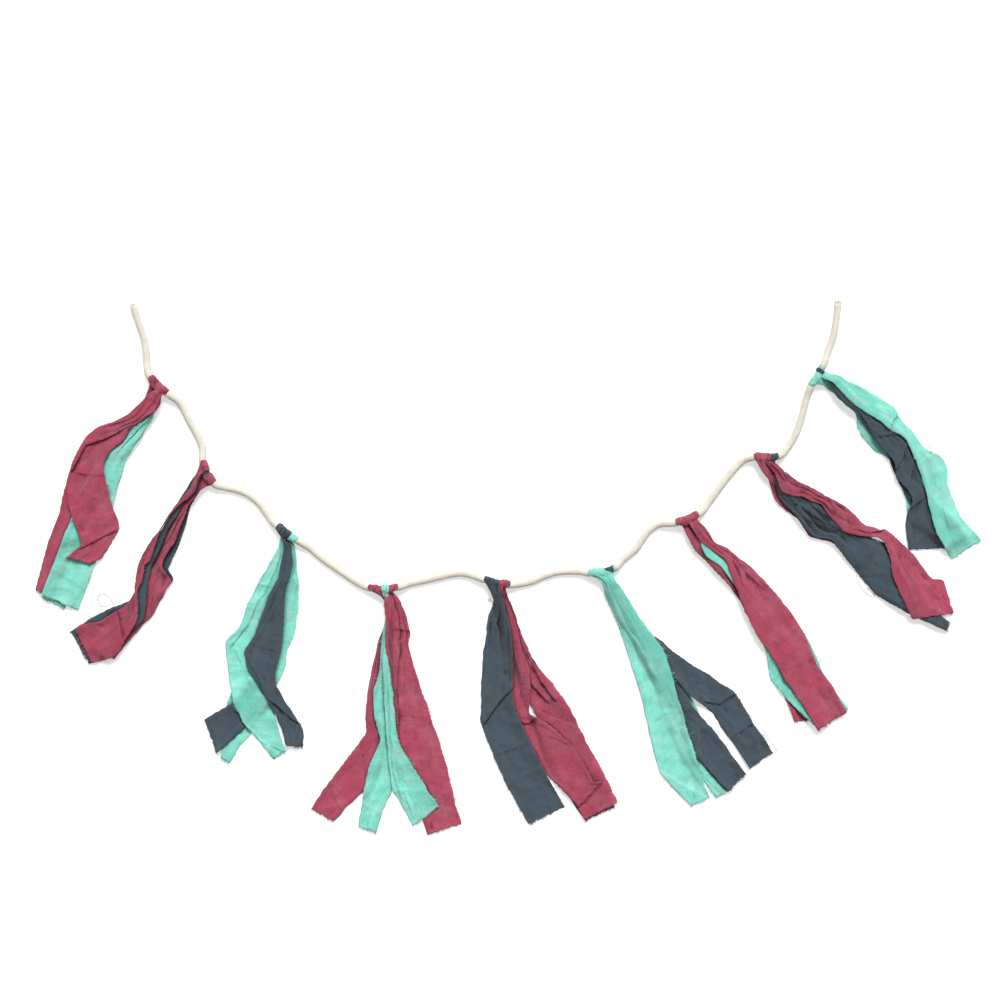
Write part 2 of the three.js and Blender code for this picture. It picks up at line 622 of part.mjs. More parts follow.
function strip(name, side, tails, frame, radius) {
  const left = tails[0].map((station) => tailRing(station, false)).reverse();
  const right = tails[1].map((station) => tailRing(station, true));
  const rings = [...left, ...knotRings(frame, radius, side.legShares), ...right];
  const material = new THREE.MeshStandardMaterial({
    color: cloth[side.colour],
    roughness: clothRoughness,
    metalness: 0,
  });
  const mesh = new THREE.Mesh(stripGeometry(rings), material);
  mesh.name = name;
  return mesh;
}

function tasselGroup(tassel, number) {
  const tails = {};
  for (const layer of ['inner', 'outer']) {
    tails[`${layer} left`] = tailStations(tassel, tassel[layer].leftShares);
    tails[`${layer} right`] = tailStations(tassel, tassel[layer].rightShares);
  }
  layTails(tassel.order.map((name) => tails[name]));
  const frame = {
    middle: place(tassel.ropePixel, ropeLift),
    along: way(tassel.ropeTurn),
    out: way(tassel.ropeTurn - 90),
  };
  const group = new THREE.Group();
  for (const [layer, radius] of [['inner', innerRadius], ['outer', outerRadius]]) {
    const side = tassel[layer];
    const name = `tassel_${number}_${side.colour}_strip`;
    group.add(strip(name, side, [tails[`${layer} left`], tails[`${layer} right`]], frame, radius));
  }
  return group;
}

const garland = new THREE.Group();
const rope = new THREE.Mesh(ropeGeometry(), new THREE.MeshStandardMaterial({
  color: ropeColour,
  roughness: ropeRoughness,
  metalness: 0,
}));
rope.name = 'rope';
garland.add(rope);
tassels.forEach((tassel, index) => garland.add(tasselGroup(tassel, index + 1)));
const middle = new THREE.Box3().setFromObject(garland).getCenter(new THREE.Vector3());
garland.position.set(-middle.x, -middle.y, 0);

export default garland;
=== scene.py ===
"""A tassel garland that lies on a table: torn cotton strips knotted in pairs along a cotton rope.

Metres. +X runs from the garland's left tassel to its right one, +Y from the tails to the rope's
ends, and +Z up off the table. The origin is under the middle of the garland.
"""
import math

import bpy
import numpy as np
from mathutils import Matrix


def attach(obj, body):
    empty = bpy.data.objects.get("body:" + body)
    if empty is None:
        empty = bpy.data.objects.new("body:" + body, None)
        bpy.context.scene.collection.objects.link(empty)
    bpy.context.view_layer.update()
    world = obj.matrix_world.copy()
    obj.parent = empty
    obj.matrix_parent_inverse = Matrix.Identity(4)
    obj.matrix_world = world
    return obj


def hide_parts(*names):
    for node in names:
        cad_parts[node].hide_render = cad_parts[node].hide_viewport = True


bl_info = {
    "name": "Tassel Garland",
    "version": (1, 0, 0),
    "blender": (4, 5, 0),
    "location": "3D View > Sidebar > Garland",
    "description": "Builds a garland of torn cloth tassels on a cotton rope",
    "category": "Add Mesh",
}

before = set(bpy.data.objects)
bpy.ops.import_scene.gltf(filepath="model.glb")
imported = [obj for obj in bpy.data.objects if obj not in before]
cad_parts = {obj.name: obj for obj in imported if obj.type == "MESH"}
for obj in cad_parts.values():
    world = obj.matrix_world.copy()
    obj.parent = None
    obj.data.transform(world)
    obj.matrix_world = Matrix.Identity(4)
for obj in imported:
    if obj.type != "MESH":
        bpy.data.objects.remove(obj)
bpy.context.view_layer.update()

MM = 0.001

# Keeps lengths that are divided by off zero
TINY = 1e-12

# The photograph: its middle, and the pixel that lies at the garland's origin
PHOTO_MIDDLE = (500, 500)
ORIGIN_PIXEL = (508.385, 568.151)
PHOTO_PIXELS = 1000

# How the rope lies: its axis over the table, free and in a knot, the reach of a knot, and how many
# of these reaches the rope runs straight
ROPE_REST = 2.88 * MM
ROPE_LIFT = 6.8 * MM
KNOT_REACH = 10 * MM
STRAIGHT_SHARE = 1.4

# How far round the rope a strip goes before its bar, and how much further round the bar's middle
# lies, in degrees: 0 faces the tails, and 90 is up
TURN_ANGLE = 258
BAR_ANGLE = 64

# Cloth mesh: columns across a strip, the spacing of a tail's rows, and the rows of its short parts
COLUMNS = 37
ROW_STEP = 1.5 * MM
NECK_ROWS = 9
LEG_ROWS = 26
BAR_ROWS = 22

# The rope's free stretches between its knots, in pixels of the photograph
ROPE_STRETCHES = [
    [(134, 306), (138, 320), (143, 333), (146.2, 347), (147.2, 361)],
    [(180, 401), (186, 413.5), (192.7, 425.8), (199.5, 438), (204, 450)],
    [(224, 487), (237.5, 490), (251, 495.6), (260, 503.5), (268, 514.5)],
    [(309.3, 546.6), (319.7, 556), (330.8, 564.4), (342.4, 572), (353.7, 580), (362.5, 585)],
    [(408, 583.4), (421.8, 581), (435.4, 577.7), (449, 574.4), (459, 572.6), (469.3, 574)],
    [(518, 584), (530.6, 582), (543.4, 576), (557, 571.8), (571, 571.2), (583, 571.5)],
    [(621, 560), (632.9, 552), (638.3, 546.5), (641.2, 540), (649.4, 529.5), (655, 525),
     (662, 522.5)],
    [(705.3, 506.3), (713.7, 495.5), (721.7, 484), (730.3, 473.4), (739.3, 463), (745, 458)],
    [(786.5, 448.3), (791.6, 441.5), (797.7, 429), (801.7, 415.6), (805.3, 402), (806.8, 395)],
    [(827, 352), (832.4, 339.5), (834.6, 329), (836.2, 318), (837.6, 304)],
]

# The tassels from left to right. rope_pixel is the middle of the knot in the photograph,
# tail_pixel where its tails begin, rope_turn and tail_turn the ways that rope and tails run, in
# degrees from +X, and order how its tails are laid, the lowest first. The inner strip lies closer
# to the rope. leg_shares say how far a strip's left and right leg reach along the rope, in knot
# reaches. A row of a tail says how far along it lies, and where its left and right edge are:
# [along, left, right], or [along, left, along, right] where it runs askew. Along is in lengths of
# the longest tail, and across in widths of a strip. flare widens the left leg where it leaves the
# rope, in knot reaches, and tapers say how much narrower the knot's left and right half get there.
TASSELS = [
  {
    "rope_pixel": (159.8, 386.4), "tail_pixel": (158, 388), "rope_turn": -42, "tail_turn": -111,
    "order": ["inner left", "outer left", "inner right", "outer right"],
    "inner": {
      "colour": "mint",
      "leg_shares": [(-0.9, 0), (0, 0.75)],
      "left_shares": [
        [0.06, -0.14, -0.02], [0.14, -0.2, 0], [0.22, -0.35, -0.02], [0.3, -0.5, -0.13],
        [0.42, -0.6, -0.15], [0.55, -0.78, -0.05], [0.7, -0.88, 0.05], [0.85, -0.88, 0.03],
        [0.945, -0.82, 0.955, -0.2],
      ],
      "right_shares": [
        [0.06, 0.02, 0.19], [0.13, -0.05, 0.14], [0.2, -0.33, 0.08], [0.3, -0.6, -0.08],
        [0.36, -0.66, -0.07], [0.42, -0.66, -0.06], [0.5, -0.75, 0], [0.62, -0.83, 0.1],
        [0.78, -0.84, 0.13], [0.93, -0.84, 0.94, 0.12],
      ],
    },
    "outer": {
      "colour": "crimson",
      "leg_shares": [(-1.3, 0.05), (0.05, 1)],
      "left_shares": [
        [0.06, -0.17, 0], [0.12, -0.3, 0], [0.2, -0.75, -0.25], [0.26, -1.14, -0.42],
        [0.33, -1.2, -0.6], [0.4, -1.31, -0.62], [0.5, -1.28, -0.65], [0.6, -1.19, -0.65],
        [0.75, -1.17, -0.65], [0.92, -1.05, 0.93, -0.72],
      ],
      "right_shares": [
        [0.06, -0.18, 0.24], [0.1, -0.29, 0.104, 0.17], [0.14, -0.41, 0.138, 0.03],
        [0.18, -0.65, 0.195, -0.25], [0.23, -1.04, 0.25, -0.29], [0.28, -1.22, 0.3, -0.5],
        [0.33, -1.28, 0.35, -0.56], [0.4, -1.33, 0.39, -0.48], [0.48, -1.28, 0.475, -0.14],
        [0.56, -1.04, 0.557, 0.3], [0.62, -0.7, 0.6, 0.36], [0.69, -0.35, 0.72, 0.23],
        [0.76, -0.58, 0.745, 0.06],
      ],
    },
  },
  {
    "rope_pixel": (208.3, 473.4), "tail_pixel": (207, 480), "rope_turn": -63, "tail_turn": -119,
    "order": ["inner right", "outer right", "inner left", "outer left"],
    "inner": {
      "colour": "slate",
      "leg_shares": [(-0.9, -0.05), (-0.05, 0.7)],
      "left_shares": [
        [0.06, -0.3, -0.07], [0.12, -0.33, -0.2], [0.19, -0.36, -0.21], [0.24, -0.36, -0.235],
        [0.33, -0.38, -0.17], [0.38, -0.34, -0.15], [0.42, -0.36, -0.12], [0.465, -0.27, -0.02],
        [0.52, -0.19, 0.1], [0.56, -0.05, 0.23], [0.615, 0.1, 0.34], [0.7, -0.2, 0.15],
        [0.8, -0.5, 0],
      ],
      "right_shares": [
        [0.06, -0.17, -0.02], [0.12, -0.12, -0.04], [0.2, -0.1, 0.09], [0.3, -0.05, 0.2],
        [0.39, 0, 0.23], [0.405, 0, 0.49], [0.43, -0.05, 0.49], [0.5, -0.12, 0.25],
        [0.56, -0.16, 0.62, 0.25], [0.63, -0.54, 0.7, 0.2], [0.7, -0.83, 0.77, 0.17],
        [0.79, -1.14, 0.868, -0.32],
      ],
    },
    "outer": {
      "colour": "crimson",
      "leg_shares": [(-1.25, -0.3), (0.15, 1.1)],
      "tapers": (0.55, 0),
      "left_shares": [
        [0.06, -0.22, -0.09], [0.1, -0.28, -0.15], [0.14, -0.34, -0.29], [0.2, -0.39, -0.36],
        [0.26, -0.39, -0.38], [0.31, -0.46, -0.32], [0.386, -0.51, -0.21], [0.42, -0.47, -0.3],
        [0.468, -0.4, -0.16], [0.52, -0.21, -0.14], [0.5665, -0.22, 0.05], [0.61, -0.28, 0.2],
        [0.63, -0.38, 0.21], [0.7, -0.61, 0.2], [0.75, -1, 0.785, 0.19],
        [0.775, -1.03, 0.86, -0.24],
      ],
      "right_shares": [
        [0.06, -0.18, -0.02], [0.12, -0.26, -0.06], [0.2, -0.3, 0.01], [0.285, -0.28, 0.07],
        [0.34, -0.24, 0.03], [0.39, -0.2, 0.1], [0.42, -0.16, 0.48], [0.5, 0, 0.46],
        [0.58, 0.15, 0.46], [0.66, 0.1, 0.34], [0.73, 0, 0.24], [0.8, -0.1, 0.17],
      ],
    },
  },
  {
    "rope_pixel": (287.8, 533.5), "tail_pixel": (287, 533), "rope_turn": -35, "tail_turn": -98,
    "order": ["inner right", "outer right", "inner left", "outer left"],
    "inner": {
      "colour": "mint",
      "leg_shares": [(-0.9, 0), (0, 1.1)],
      "left_shares": [
        [0.06, -0.14, 0], [0.12, -0.31, 0], [0.2, -0.52, 0], [0.3, -0.73, -0.15],
        [0.4, -0.85, -0.25], [0.46, -1.16, -0.3], [0.54, -1.04, -0.2], [0.62, -0.9, 0],
        [0.7, -0.72, 0.27], [0.77, -0.44, 0.45], [0.83, -0.03, 0.62], [0.9, 0.44, 0.855, 0.72],
      ],
      "right_shares": [
        [0.06, 0.06, 0.26], [0.12, 0.1, 0.36], [0.2, 0.1, 0.48], [0.3, 0, 0.55], [0.38, 0, 0.55],
        [0.46, -0.1, 0.42], [0.52, -0.15, 0.45], [0.58, -0.3, 0.35], [0.66, -0.84, 0.1],
        [0.74, -0.93, -0.05], [0.81, -0.86, -0.16], [0.87, -0.86, -0.43],
        [0.92, -0.85, 0.937, -0.6],
      ],
    },
    "outer": {
      "colour": "slate",
      "leg_shares": [(-1.2, 0.1), (0.1, 0.5)],
      "left_shares": [
        [0.06, 0, 0.17], [0.09, 0, 0.23], [0.125, -0.02, 0.26], [0.18, -0.02, 0.2],
        [0.215, -0.11, 0.19], [0.26, -0.23, 0.2], [0.34, -0.35, 0.25], [0.42, -0.45, 0.28],
        [0.49, -0.65, 0.27], [0.55, -0.52, 0.21], [0.61, -0.2, 0.61, 0.28],
        [0.68, 0.14, 0.67, 0.57], [0.73, 0.38, 0.72, 0.87], [0.78, 0.56, 0.775, 1.12],
        [0.836, 0.71, 0.833, 1.15],
      ],
      "right_shares": [
        [0.06, 0.06, 0.18], [0.12, 0.08, 0.24], [0.2, 0, 0.18], [0.3, -0.1, 0.2],
        [0.4, -0.15, 0.2], [0.5, -0.15, 0.2], [0.58, -0.25, 0.64, 0.15], [0.7, -0.75, 0.78, -0.3],
        [0.78, -1.38, 0.91, -0.95],
      ],
    },
  },
  {
    "rope_pixel": (386.5, 588.2), "tail_pixel": (388, 590), "rope_turn": 4, "tail_turn": -90,
    "order": ["inner left", "outer left", "inner right", "outer right"],
    "inner": {
      "colour": "crimson",
      "leg_shares": [(-1.75, 0), (0, 1.2)],
      "left_shares": [
        [0.06, -0.07, -0.01], [0.12, -0.04, 0], [0.15, -0.1, -0.02], [0.2, -0.23, -0.03],
        [0.3, -0.38, -0.12], [0.4, -0.5, -0.25], [0.5, -0.57, -0.24], [0.57, -0.54, 0.58, -0.1],
        [0.64, -0.87, 0.68, -0.28], [0.73, -1.3, 0.8, -0.56], [0.8, -1.63, 0.86, -0.98],
        [0.87, -1.91, 0.923, -1.33],
      ],
      "right_shares": [
        [0.06, -0.08, 0.34], [0.1, -0.05, 0.46], [0.13, -0.04, 0.5], [0.17, -0.06, 0.58],
        [0.22, -0.06, 0.5], [0.32, 0.02, 0.68], [0.42, 0.1, 0.88], [0.52, 0.17, 1.11],
        [0.62, 0.22, 1.3], [0.72, 0.45, 1.51], [0.83, 0.7, 1.64], [0.975, 0.97, 0.93, 1.83],
      ],
    },
    "outer": {
      "colour": "mint",
      "leg_shares": [(-0.4, 0), (0, 0.35)],
      "left_shares": [
        [0.06, -0.03, 0.02], [0.11, -0.03, 0], [0.14, -0.09, -0.02], [0.2, -0.14, -0.03],
        [0.27, -0.17, 0], [0.35, -0.24, 0.03], [0.4, -0.37, 0.05], [0.5, -0.35, 0.05],
        [0.6, -0.18, 0.05], [0.7, -0.47, 0.13], [0.8, -0.6, 0.13], [0.88, -0.68, -0.12],
        [0.94, -0.75, 0.965, -0.28],
      ],
      "right_shares": [
        [0.06, -0.02, 0.04], [0.12, 0, 0.03], [0.2, -0.08, -0.02], [0.27, -0.12, 0],
        [0.35, -0.12, 0.09], [0.45, -0.1, 0.16], [0.55, -0.06, 0.21], [0.62, -0.02, 0.3],
        [0.7, 0.02, 0.6], [0.795, 0.1, 0.77, 0.88], [0.86, 0.34, 0.82, 1.07],
        [0.94, 0.61, 0.86, 1.26],
      ],
    },
  },
  {
    "rope_pixel": (497.3, 582.3), "tail_pixel": (497, 583), "rope_turn": -12, "tail_turn": -74.5,
    "order": ["inner right", "outer right", "outer left", "inner left"],
    "inner": {
      "colour": "slate",
      "leg_shares": [(-1.4, 0.2), (0.2, 1.15)],
      "left_shares": [
        [0.06, -0.18, 0.04], [0.12, -0.45, 0.04], [0.2, -0.65, 0.03], [0.27, -0.84, -0.05],
        [0.36, -1.05, -0.2], [0.43, -1.17, -0.35], [0.52, -1.33, -0.4], [0.62, -1.27, -0.28],
        [0.75, -1.16, -0.15], [0.85, -1.02, 0], [0.96, -0.86, 0.93, 0.13],
      ],
      "right_shares": [
        [0.06, 0.04, 0.16], [0.12, 0.05, 0.21], [0.2, 0.05, 0.22], [0.3, 0, 0.32], [0.4, 0.1, 0.5],
        [0.5, 0.1, 0.73], [0.6, 0.1, 0.98], [0.75, 0.1, 1.08], [0.88, 0.25, 1.2],
        [1.005, 0.52, 0.985, 1.35],
      ],
    },
    "outer": {
      "colour": "crimson",
      "leg_shares": [(0.05, 0.5), (0.5, 1)],
      "left_shares": [
        [0.06, -0.08, 0.09], [0.12, -0.06, 0.15], [0.2, -0.06, 0.18], [0.3, -0.2, 0.16],
        [0.37, -0.28, 0.2], [0.45, -0.48, 0.1], [0.49, -0.5, 0], [0.54, -0.5, -0.1],
        [0.553, -0.5, 0.06], [0.62, -0.42, 0.4], [0.7, -0.36, 0.7], [0.79, -0.1, 0.9],
        [0.87, 0.2, 1], [0.945, 0.45, 0.87, 1.2],
      ],
      "right_shares": [
        [0.06, 0.12, 0.14], [0.12, 0.12, 0.21], [0.2, 0.08, 0.23], [0.28, 0.05, 0.31],
        [0.36, 0, 0.4], [0.45, -0.04, 0.69], [0.495, -0.03, 0.78], [0.55, 0.05, 0.91],
        [0.65, 0.1, 1.02], [0.75, 0.15, 1.15], [0.87, 0.3, 1.34], [1, 0.52, 0.97, 1.43],
      ],
    },
  },
  {
    "rope_pixel": (603.5, 571.2), "tail_pixel": (607, 575), "rope_turn": 13, "tail_turn": -64,
    "order": ["outer right", "inner left", "inner right", "outer left"],
    "inner": {
      "colour": "slate",
      "leg_shares": [(-0.6, 0.1), (0.1, 0.9)],
      "left_shares": [
        [0.06, -0.12, 0.02], [0.15, -0.1, 0.1], [0.27, -0.05, 0.2], [0.4, 0, 0.3],
        [0.5, 0.05, 0.42], [0.6, 0.1, 0.48], [0.66, 0.1, 0.54], [0.73, 0.07, 0.68], [0.8, 0, 0.77],
        [0.9, 0.17, 0.88], [0.985, 0.35, 0.953, 0.94],
      ],
      "right_shares": [
        [0.06, 0.05, 0.13], [0.15, 0.1, 0.2], [0.27, 0.15, 0.27], [0.33, 0.2, 0.49],
        [0.42, 0.3, 0.73], [0.5, 0.4, 1.04], [0.575, 0.52, 1.32], [0.65, 0.77, 0.64, 1.57],
        [0.68, 0.85, 1.63], [0.74, 0.89, 1.62], [0.83, 0.98, 1.7], [0.94, 1.08, 0.925, 1.78],
      ],
    },
    "outer": {
      "colour": "mint",
      "leg_shares": [(-1.6, 0), (0.9, 1.1)],
      "flare": 0.9,
      "left_shares": [
        [0.06, -0.26, 0.15], [0.12, -0.29, 0.22], [0.2, -0.31, 0.25], [0.28, -0.37, 0.36],
        [0.37, -0.45, 0.44], [0.46, -0.52, 0.36], [0.57, -0.68, 0.23], [0.68, -0.84, 0.12],
        [0.8, -0.99, 0], [0.88, -0.86, -0.1], [0.97, -0.65, 0.975, -0.13],
      ],
      "right_shares": [
        [0.06, 0.05, 0.13], [0.15, 0.05, 0.21], [0.27, 0.05, 0.28], [0.4, 0, 0.4],
        [0.47, -0.02, 0.48], [0.55, -0.05, 0.51], [0.6, -0.1, 0.55], [0.655, -0.15, 0.57],
        [0.7, -0.2, 0.3], [0.8, -0.2, 0.05], [0.88, -0.12, 0.14], [0.985, 0, 0.985, 0.35],
      ],
    },
  },
  {
    "rope_pixel": (687, 519), "tail_pixel": (690, 522), "rope_turn": 21, "tail_turn": -58,
    "order": ["inner left", "outer left", "inner right", "outer right"],
    "inner": {
      "colour": "mint",
      "leg_shares": [(-0.9, 0), (0, 0.8)],
      "left_shares": [
        [0.06, -0.2, -0.05], [0.14, -0.16, 0], [0.22, -0.08, 0.2], [0.32, 0.1, 0.6],
        [0.45, 0.2, 0.86], [0.58, 0.2, 0.93], [0.68, 0.15, 0.95], [0.8, 0.1, 0.81],
        [0.88, 0.1, 0.84], [0.96, 0.1, 0.965, 0.87],
      ],
      "right_shares": [
        [0.06, 0.02, 0.12], [0.11, -0.1, 0.05], [0.15, -0.12, 0.1], [0.2, 0.03, 0.26],
        [0.27, 0.08, 0.4], [0.36, 0.1, 0.7], [0.48, -0.06, 0.8], [0.6, -0.11, 0.8],
        [0.7, -0.38, 0.75], [0.8, -0.31, 0.7], [0.9, -0.18, 0.7], [0.96, -0.05, 0.7],
      ],
    },
    "outer": {
      "colour": "crimson",
      "leg_shares": [(-1.2, 0), (0, 1.1)],
      "left_shares": [
        [0.06, -0.26, 0.02], [0.1, -0.27, -0.06], [0.16, -0.18, -0.03], [0.24, -0.1, 0.05],
        [0.3, -0.02, 0.12], [0.4, -0.01, 0.3], [0.5, -0.04, 0.35], [0.6, -0.06, 0.4],
        [0.7, -0.15, 0.4], [0.8, -0.34, 0.35], [0.893, -0.43, 0.938, 0.1],
      ],
      "right_shares": [
        [0.06, -0.06, 0.24], [0.12, 0.03, 0.23], [0.16, 0.15, 0.41], [0.21, 0.25, 0.53],
        [0.28, 0.12, 0.71], [0.33, 0.07, 0.77], [0.42, -0.05, 0.87], [0.52, -0.1, 0.93],
        [0.62, -0.05, 0.94], [0.75, -0.1, 0.79], [0.855, -0.05, 0.85], [0.97, -0.08, 0.97, 0.8],
      ],
    },
  },
  {
    "rope_pixel": (765.4, 457.3), "tail_pixel": (767, 458), "rope_turn": 0, "tail_turn": -45,
    "order": ["inner left", "outer left", "inner right", "outer right"],
    "inner": {
      "colour": "slate",
      "leg_shares": [(-0.8, 0), (0, 1.1)],
      "left_shares": [
        [0.06, -0.31, -0.02], [0.1, -0.24, 0.09], [0.15, -0.15, 0.11], [0.2, -0.1, 0.26],
        [0.25, -0.14, 0.34], [0.3, -0.12, 0.43], [0.36, -0.02, 0.48], [0.46, 0, 0.47],
        [0.56, -0.1, 0.4], [0.66, -0.2, 0.3], [0.78, -0.2, 0.25], [0.9, -0.06, 0.3],
        [0.965, 0.05, 0.965, 0.3],
      ],
      "right_shares": [
        [0.06, -0.12, -0.02], [0.1, -0.35, -0.15], [0.15, -0.53, -0.12], [0.21, -0.52, 0.06],
        [0.28, -0.56, 0.12], [0.35, -0.61, 0.12], [0.41, -0.32, 0.12], [0.48, -0.39, 0.32],
        [0.58, -0.44, 0.6], [0.69, -0.52, 0.3], [0.8, -0.33, 0.1], [0.9, -0.13, 0.22],
        [0.993, 0.1, 0.968, 0.31],
      ],
    },
    "outer": {
      "colour": "crimson",
      "leg_shares": [(-1.2, 0), (0, 0.4)],
      "left_shares": [
        [0.06, -0.35, -0.14], [0.1, -0.46, -0.25], [0.15, -0.64, -0.3], [0.2, -0.6, -0.2],
        [0.27, -0.54, -0.1], [0.34, -0.67, 0.35, -0.1], [0.41, -0.38, 0.4, 0.05],
        [0.5, -0.25, 0.2], [0.6, -0.3, 0.3], [0.7, -0.35, 0.2], [0.8, -0.2, 0.15],
      ],
      "right_shares": [
        [0.06, -0.16, 0.04], [0.085, -0.22, 0.04], [0.127, -0.37, 0.06], [0.178, -0.26, 0.17],
        [0.208, -0.07, 0.25], [0.26, 0.02, 0.33], [0.278, 0.11, 0.37], [0.335, 0.04, 0.5],
        [0.42, 0.01, 0.55], [0.46, 0.16, 0.52], [0.51, 0.38, 0.71], [0.54, 0.57, 0.545, 0.84],
        [0.563, 0.58, 0.575, 0.86], [0.63, 0.38, 0.87], [0.693, 0.07, 0.88], [0.757, -0.08, 0.81],
        [0.8, -0.17, 0.812, 0.78], [0.825, -0.22, 0.84, 0.975], [0.858, -0.285, 0.962, 0.56],
      ],
    },
  },
  {
    "rope_pixel": (817.4, 374), "tail_pixel": (820, 378), "rope_turn": 59, "tail_turn": -54,
    "order": ["inner left", "outer left", "outer right", "inner right"],
    "inner": {
      "colour": "mint",
      "leg_shares": [(-1.3, 0), (0, 0.85)],
      "left_shares": [
        [0.05, -0.03, 0.2], [0.085, 0.07, 0.2], [0.12, 0.07, 0.2], [0.2, 0.21, 0.3],
        [0.24, 0.02, 0.4], [0.3, -0.02, 0.4], [0.36, 0.02, 0.5], [0.42, 0.19, 0.7],
        [0.47, 0.15, 0.92], [0.53, 0.04, 1], [0.57, -0.01, 1], [0.6, -0.07, 0.95],
        [0.63, -0.2, 0.85], [0.68, -0.2, 0.75], [0.76, 0, 0.7], [0.82, 0.15, 0.6],
      ],
      "right_shares": [
        [0.06, 0.17, 0.43], [0.12, 0.2, 0.67], [0.2, 0.31, 0.91], [0.27, 0.52, 1.07],
        [0.33, 0.6, 0.31, 1], [0.36, 0.71, 0.355, 1.01], [0.384, 0.79, 1.07], [0.42, 0.77, 1.08],
        [0.476, 0.69, 1.06], [0.52, 0.62, 1.26], [0.557, 0.55, 1.31], [0.6, 0.46, 1.22],
        [0.645, 0.34, 1], [0.68, 0.25, 0.92], [0.73, 0.13, 0.85], [0.778, 0.02, 0.78],
        [0.89, -0.02, 0.9, 0.88],
      ],
    },
    "outer": {
      "colour": "slate",
      "leg_shares": [(0.2, 0.4), (0.4, 0.6)],
      "left_shares": [
        [0.06, 0.08, 0.1], [0.12, 0.06, 0.2], [0.2, 0.24, 0.32], [0.3, 0.2, 0.45],
        [0.4, 0.22, 0.7], [0.5, 0.04, 0.6], [0.6, -0.01, 0.45], [0.7, 0, 0.5], [0.8, 0.05, 0.6],
        [0.86, 0.1, 0.6],
      ],
      "right_shares": [
        [0.06, 0.08, 0.28], [0.12, 0.07, 0.34], [0.2, 0.24, 0.45], [0.25, 0.24, 0.58],
        [0.3, 0.2, 0.7], [0.345, 0.17, 0.8], [0.39, 0.2, 0.86], [0.44, 0.24, 0.8],
        [0.5, 0.04, 0.72], [0.575, 0.09, 0.62], [0.615, 0.04, 0.5], [0.638, -0.23, 0.43],
        [0.68, -0.48, 0.3], [0.758, -0.73, 0.838, 0.01],
      ],
    },
  },
]

# Where each tassel's left and right legs leave the rope for the tails, in degrees round it: a leg
# that leaves high runs straight on into its tail, and one that leaves low wraps the rope first
LEAVE_ANGLES = [(-15, 55), (55, 0), (30, -10), (60, 0), (60, -15), (60, 10), (10, 50), (60, -15),
                (50, 50)]

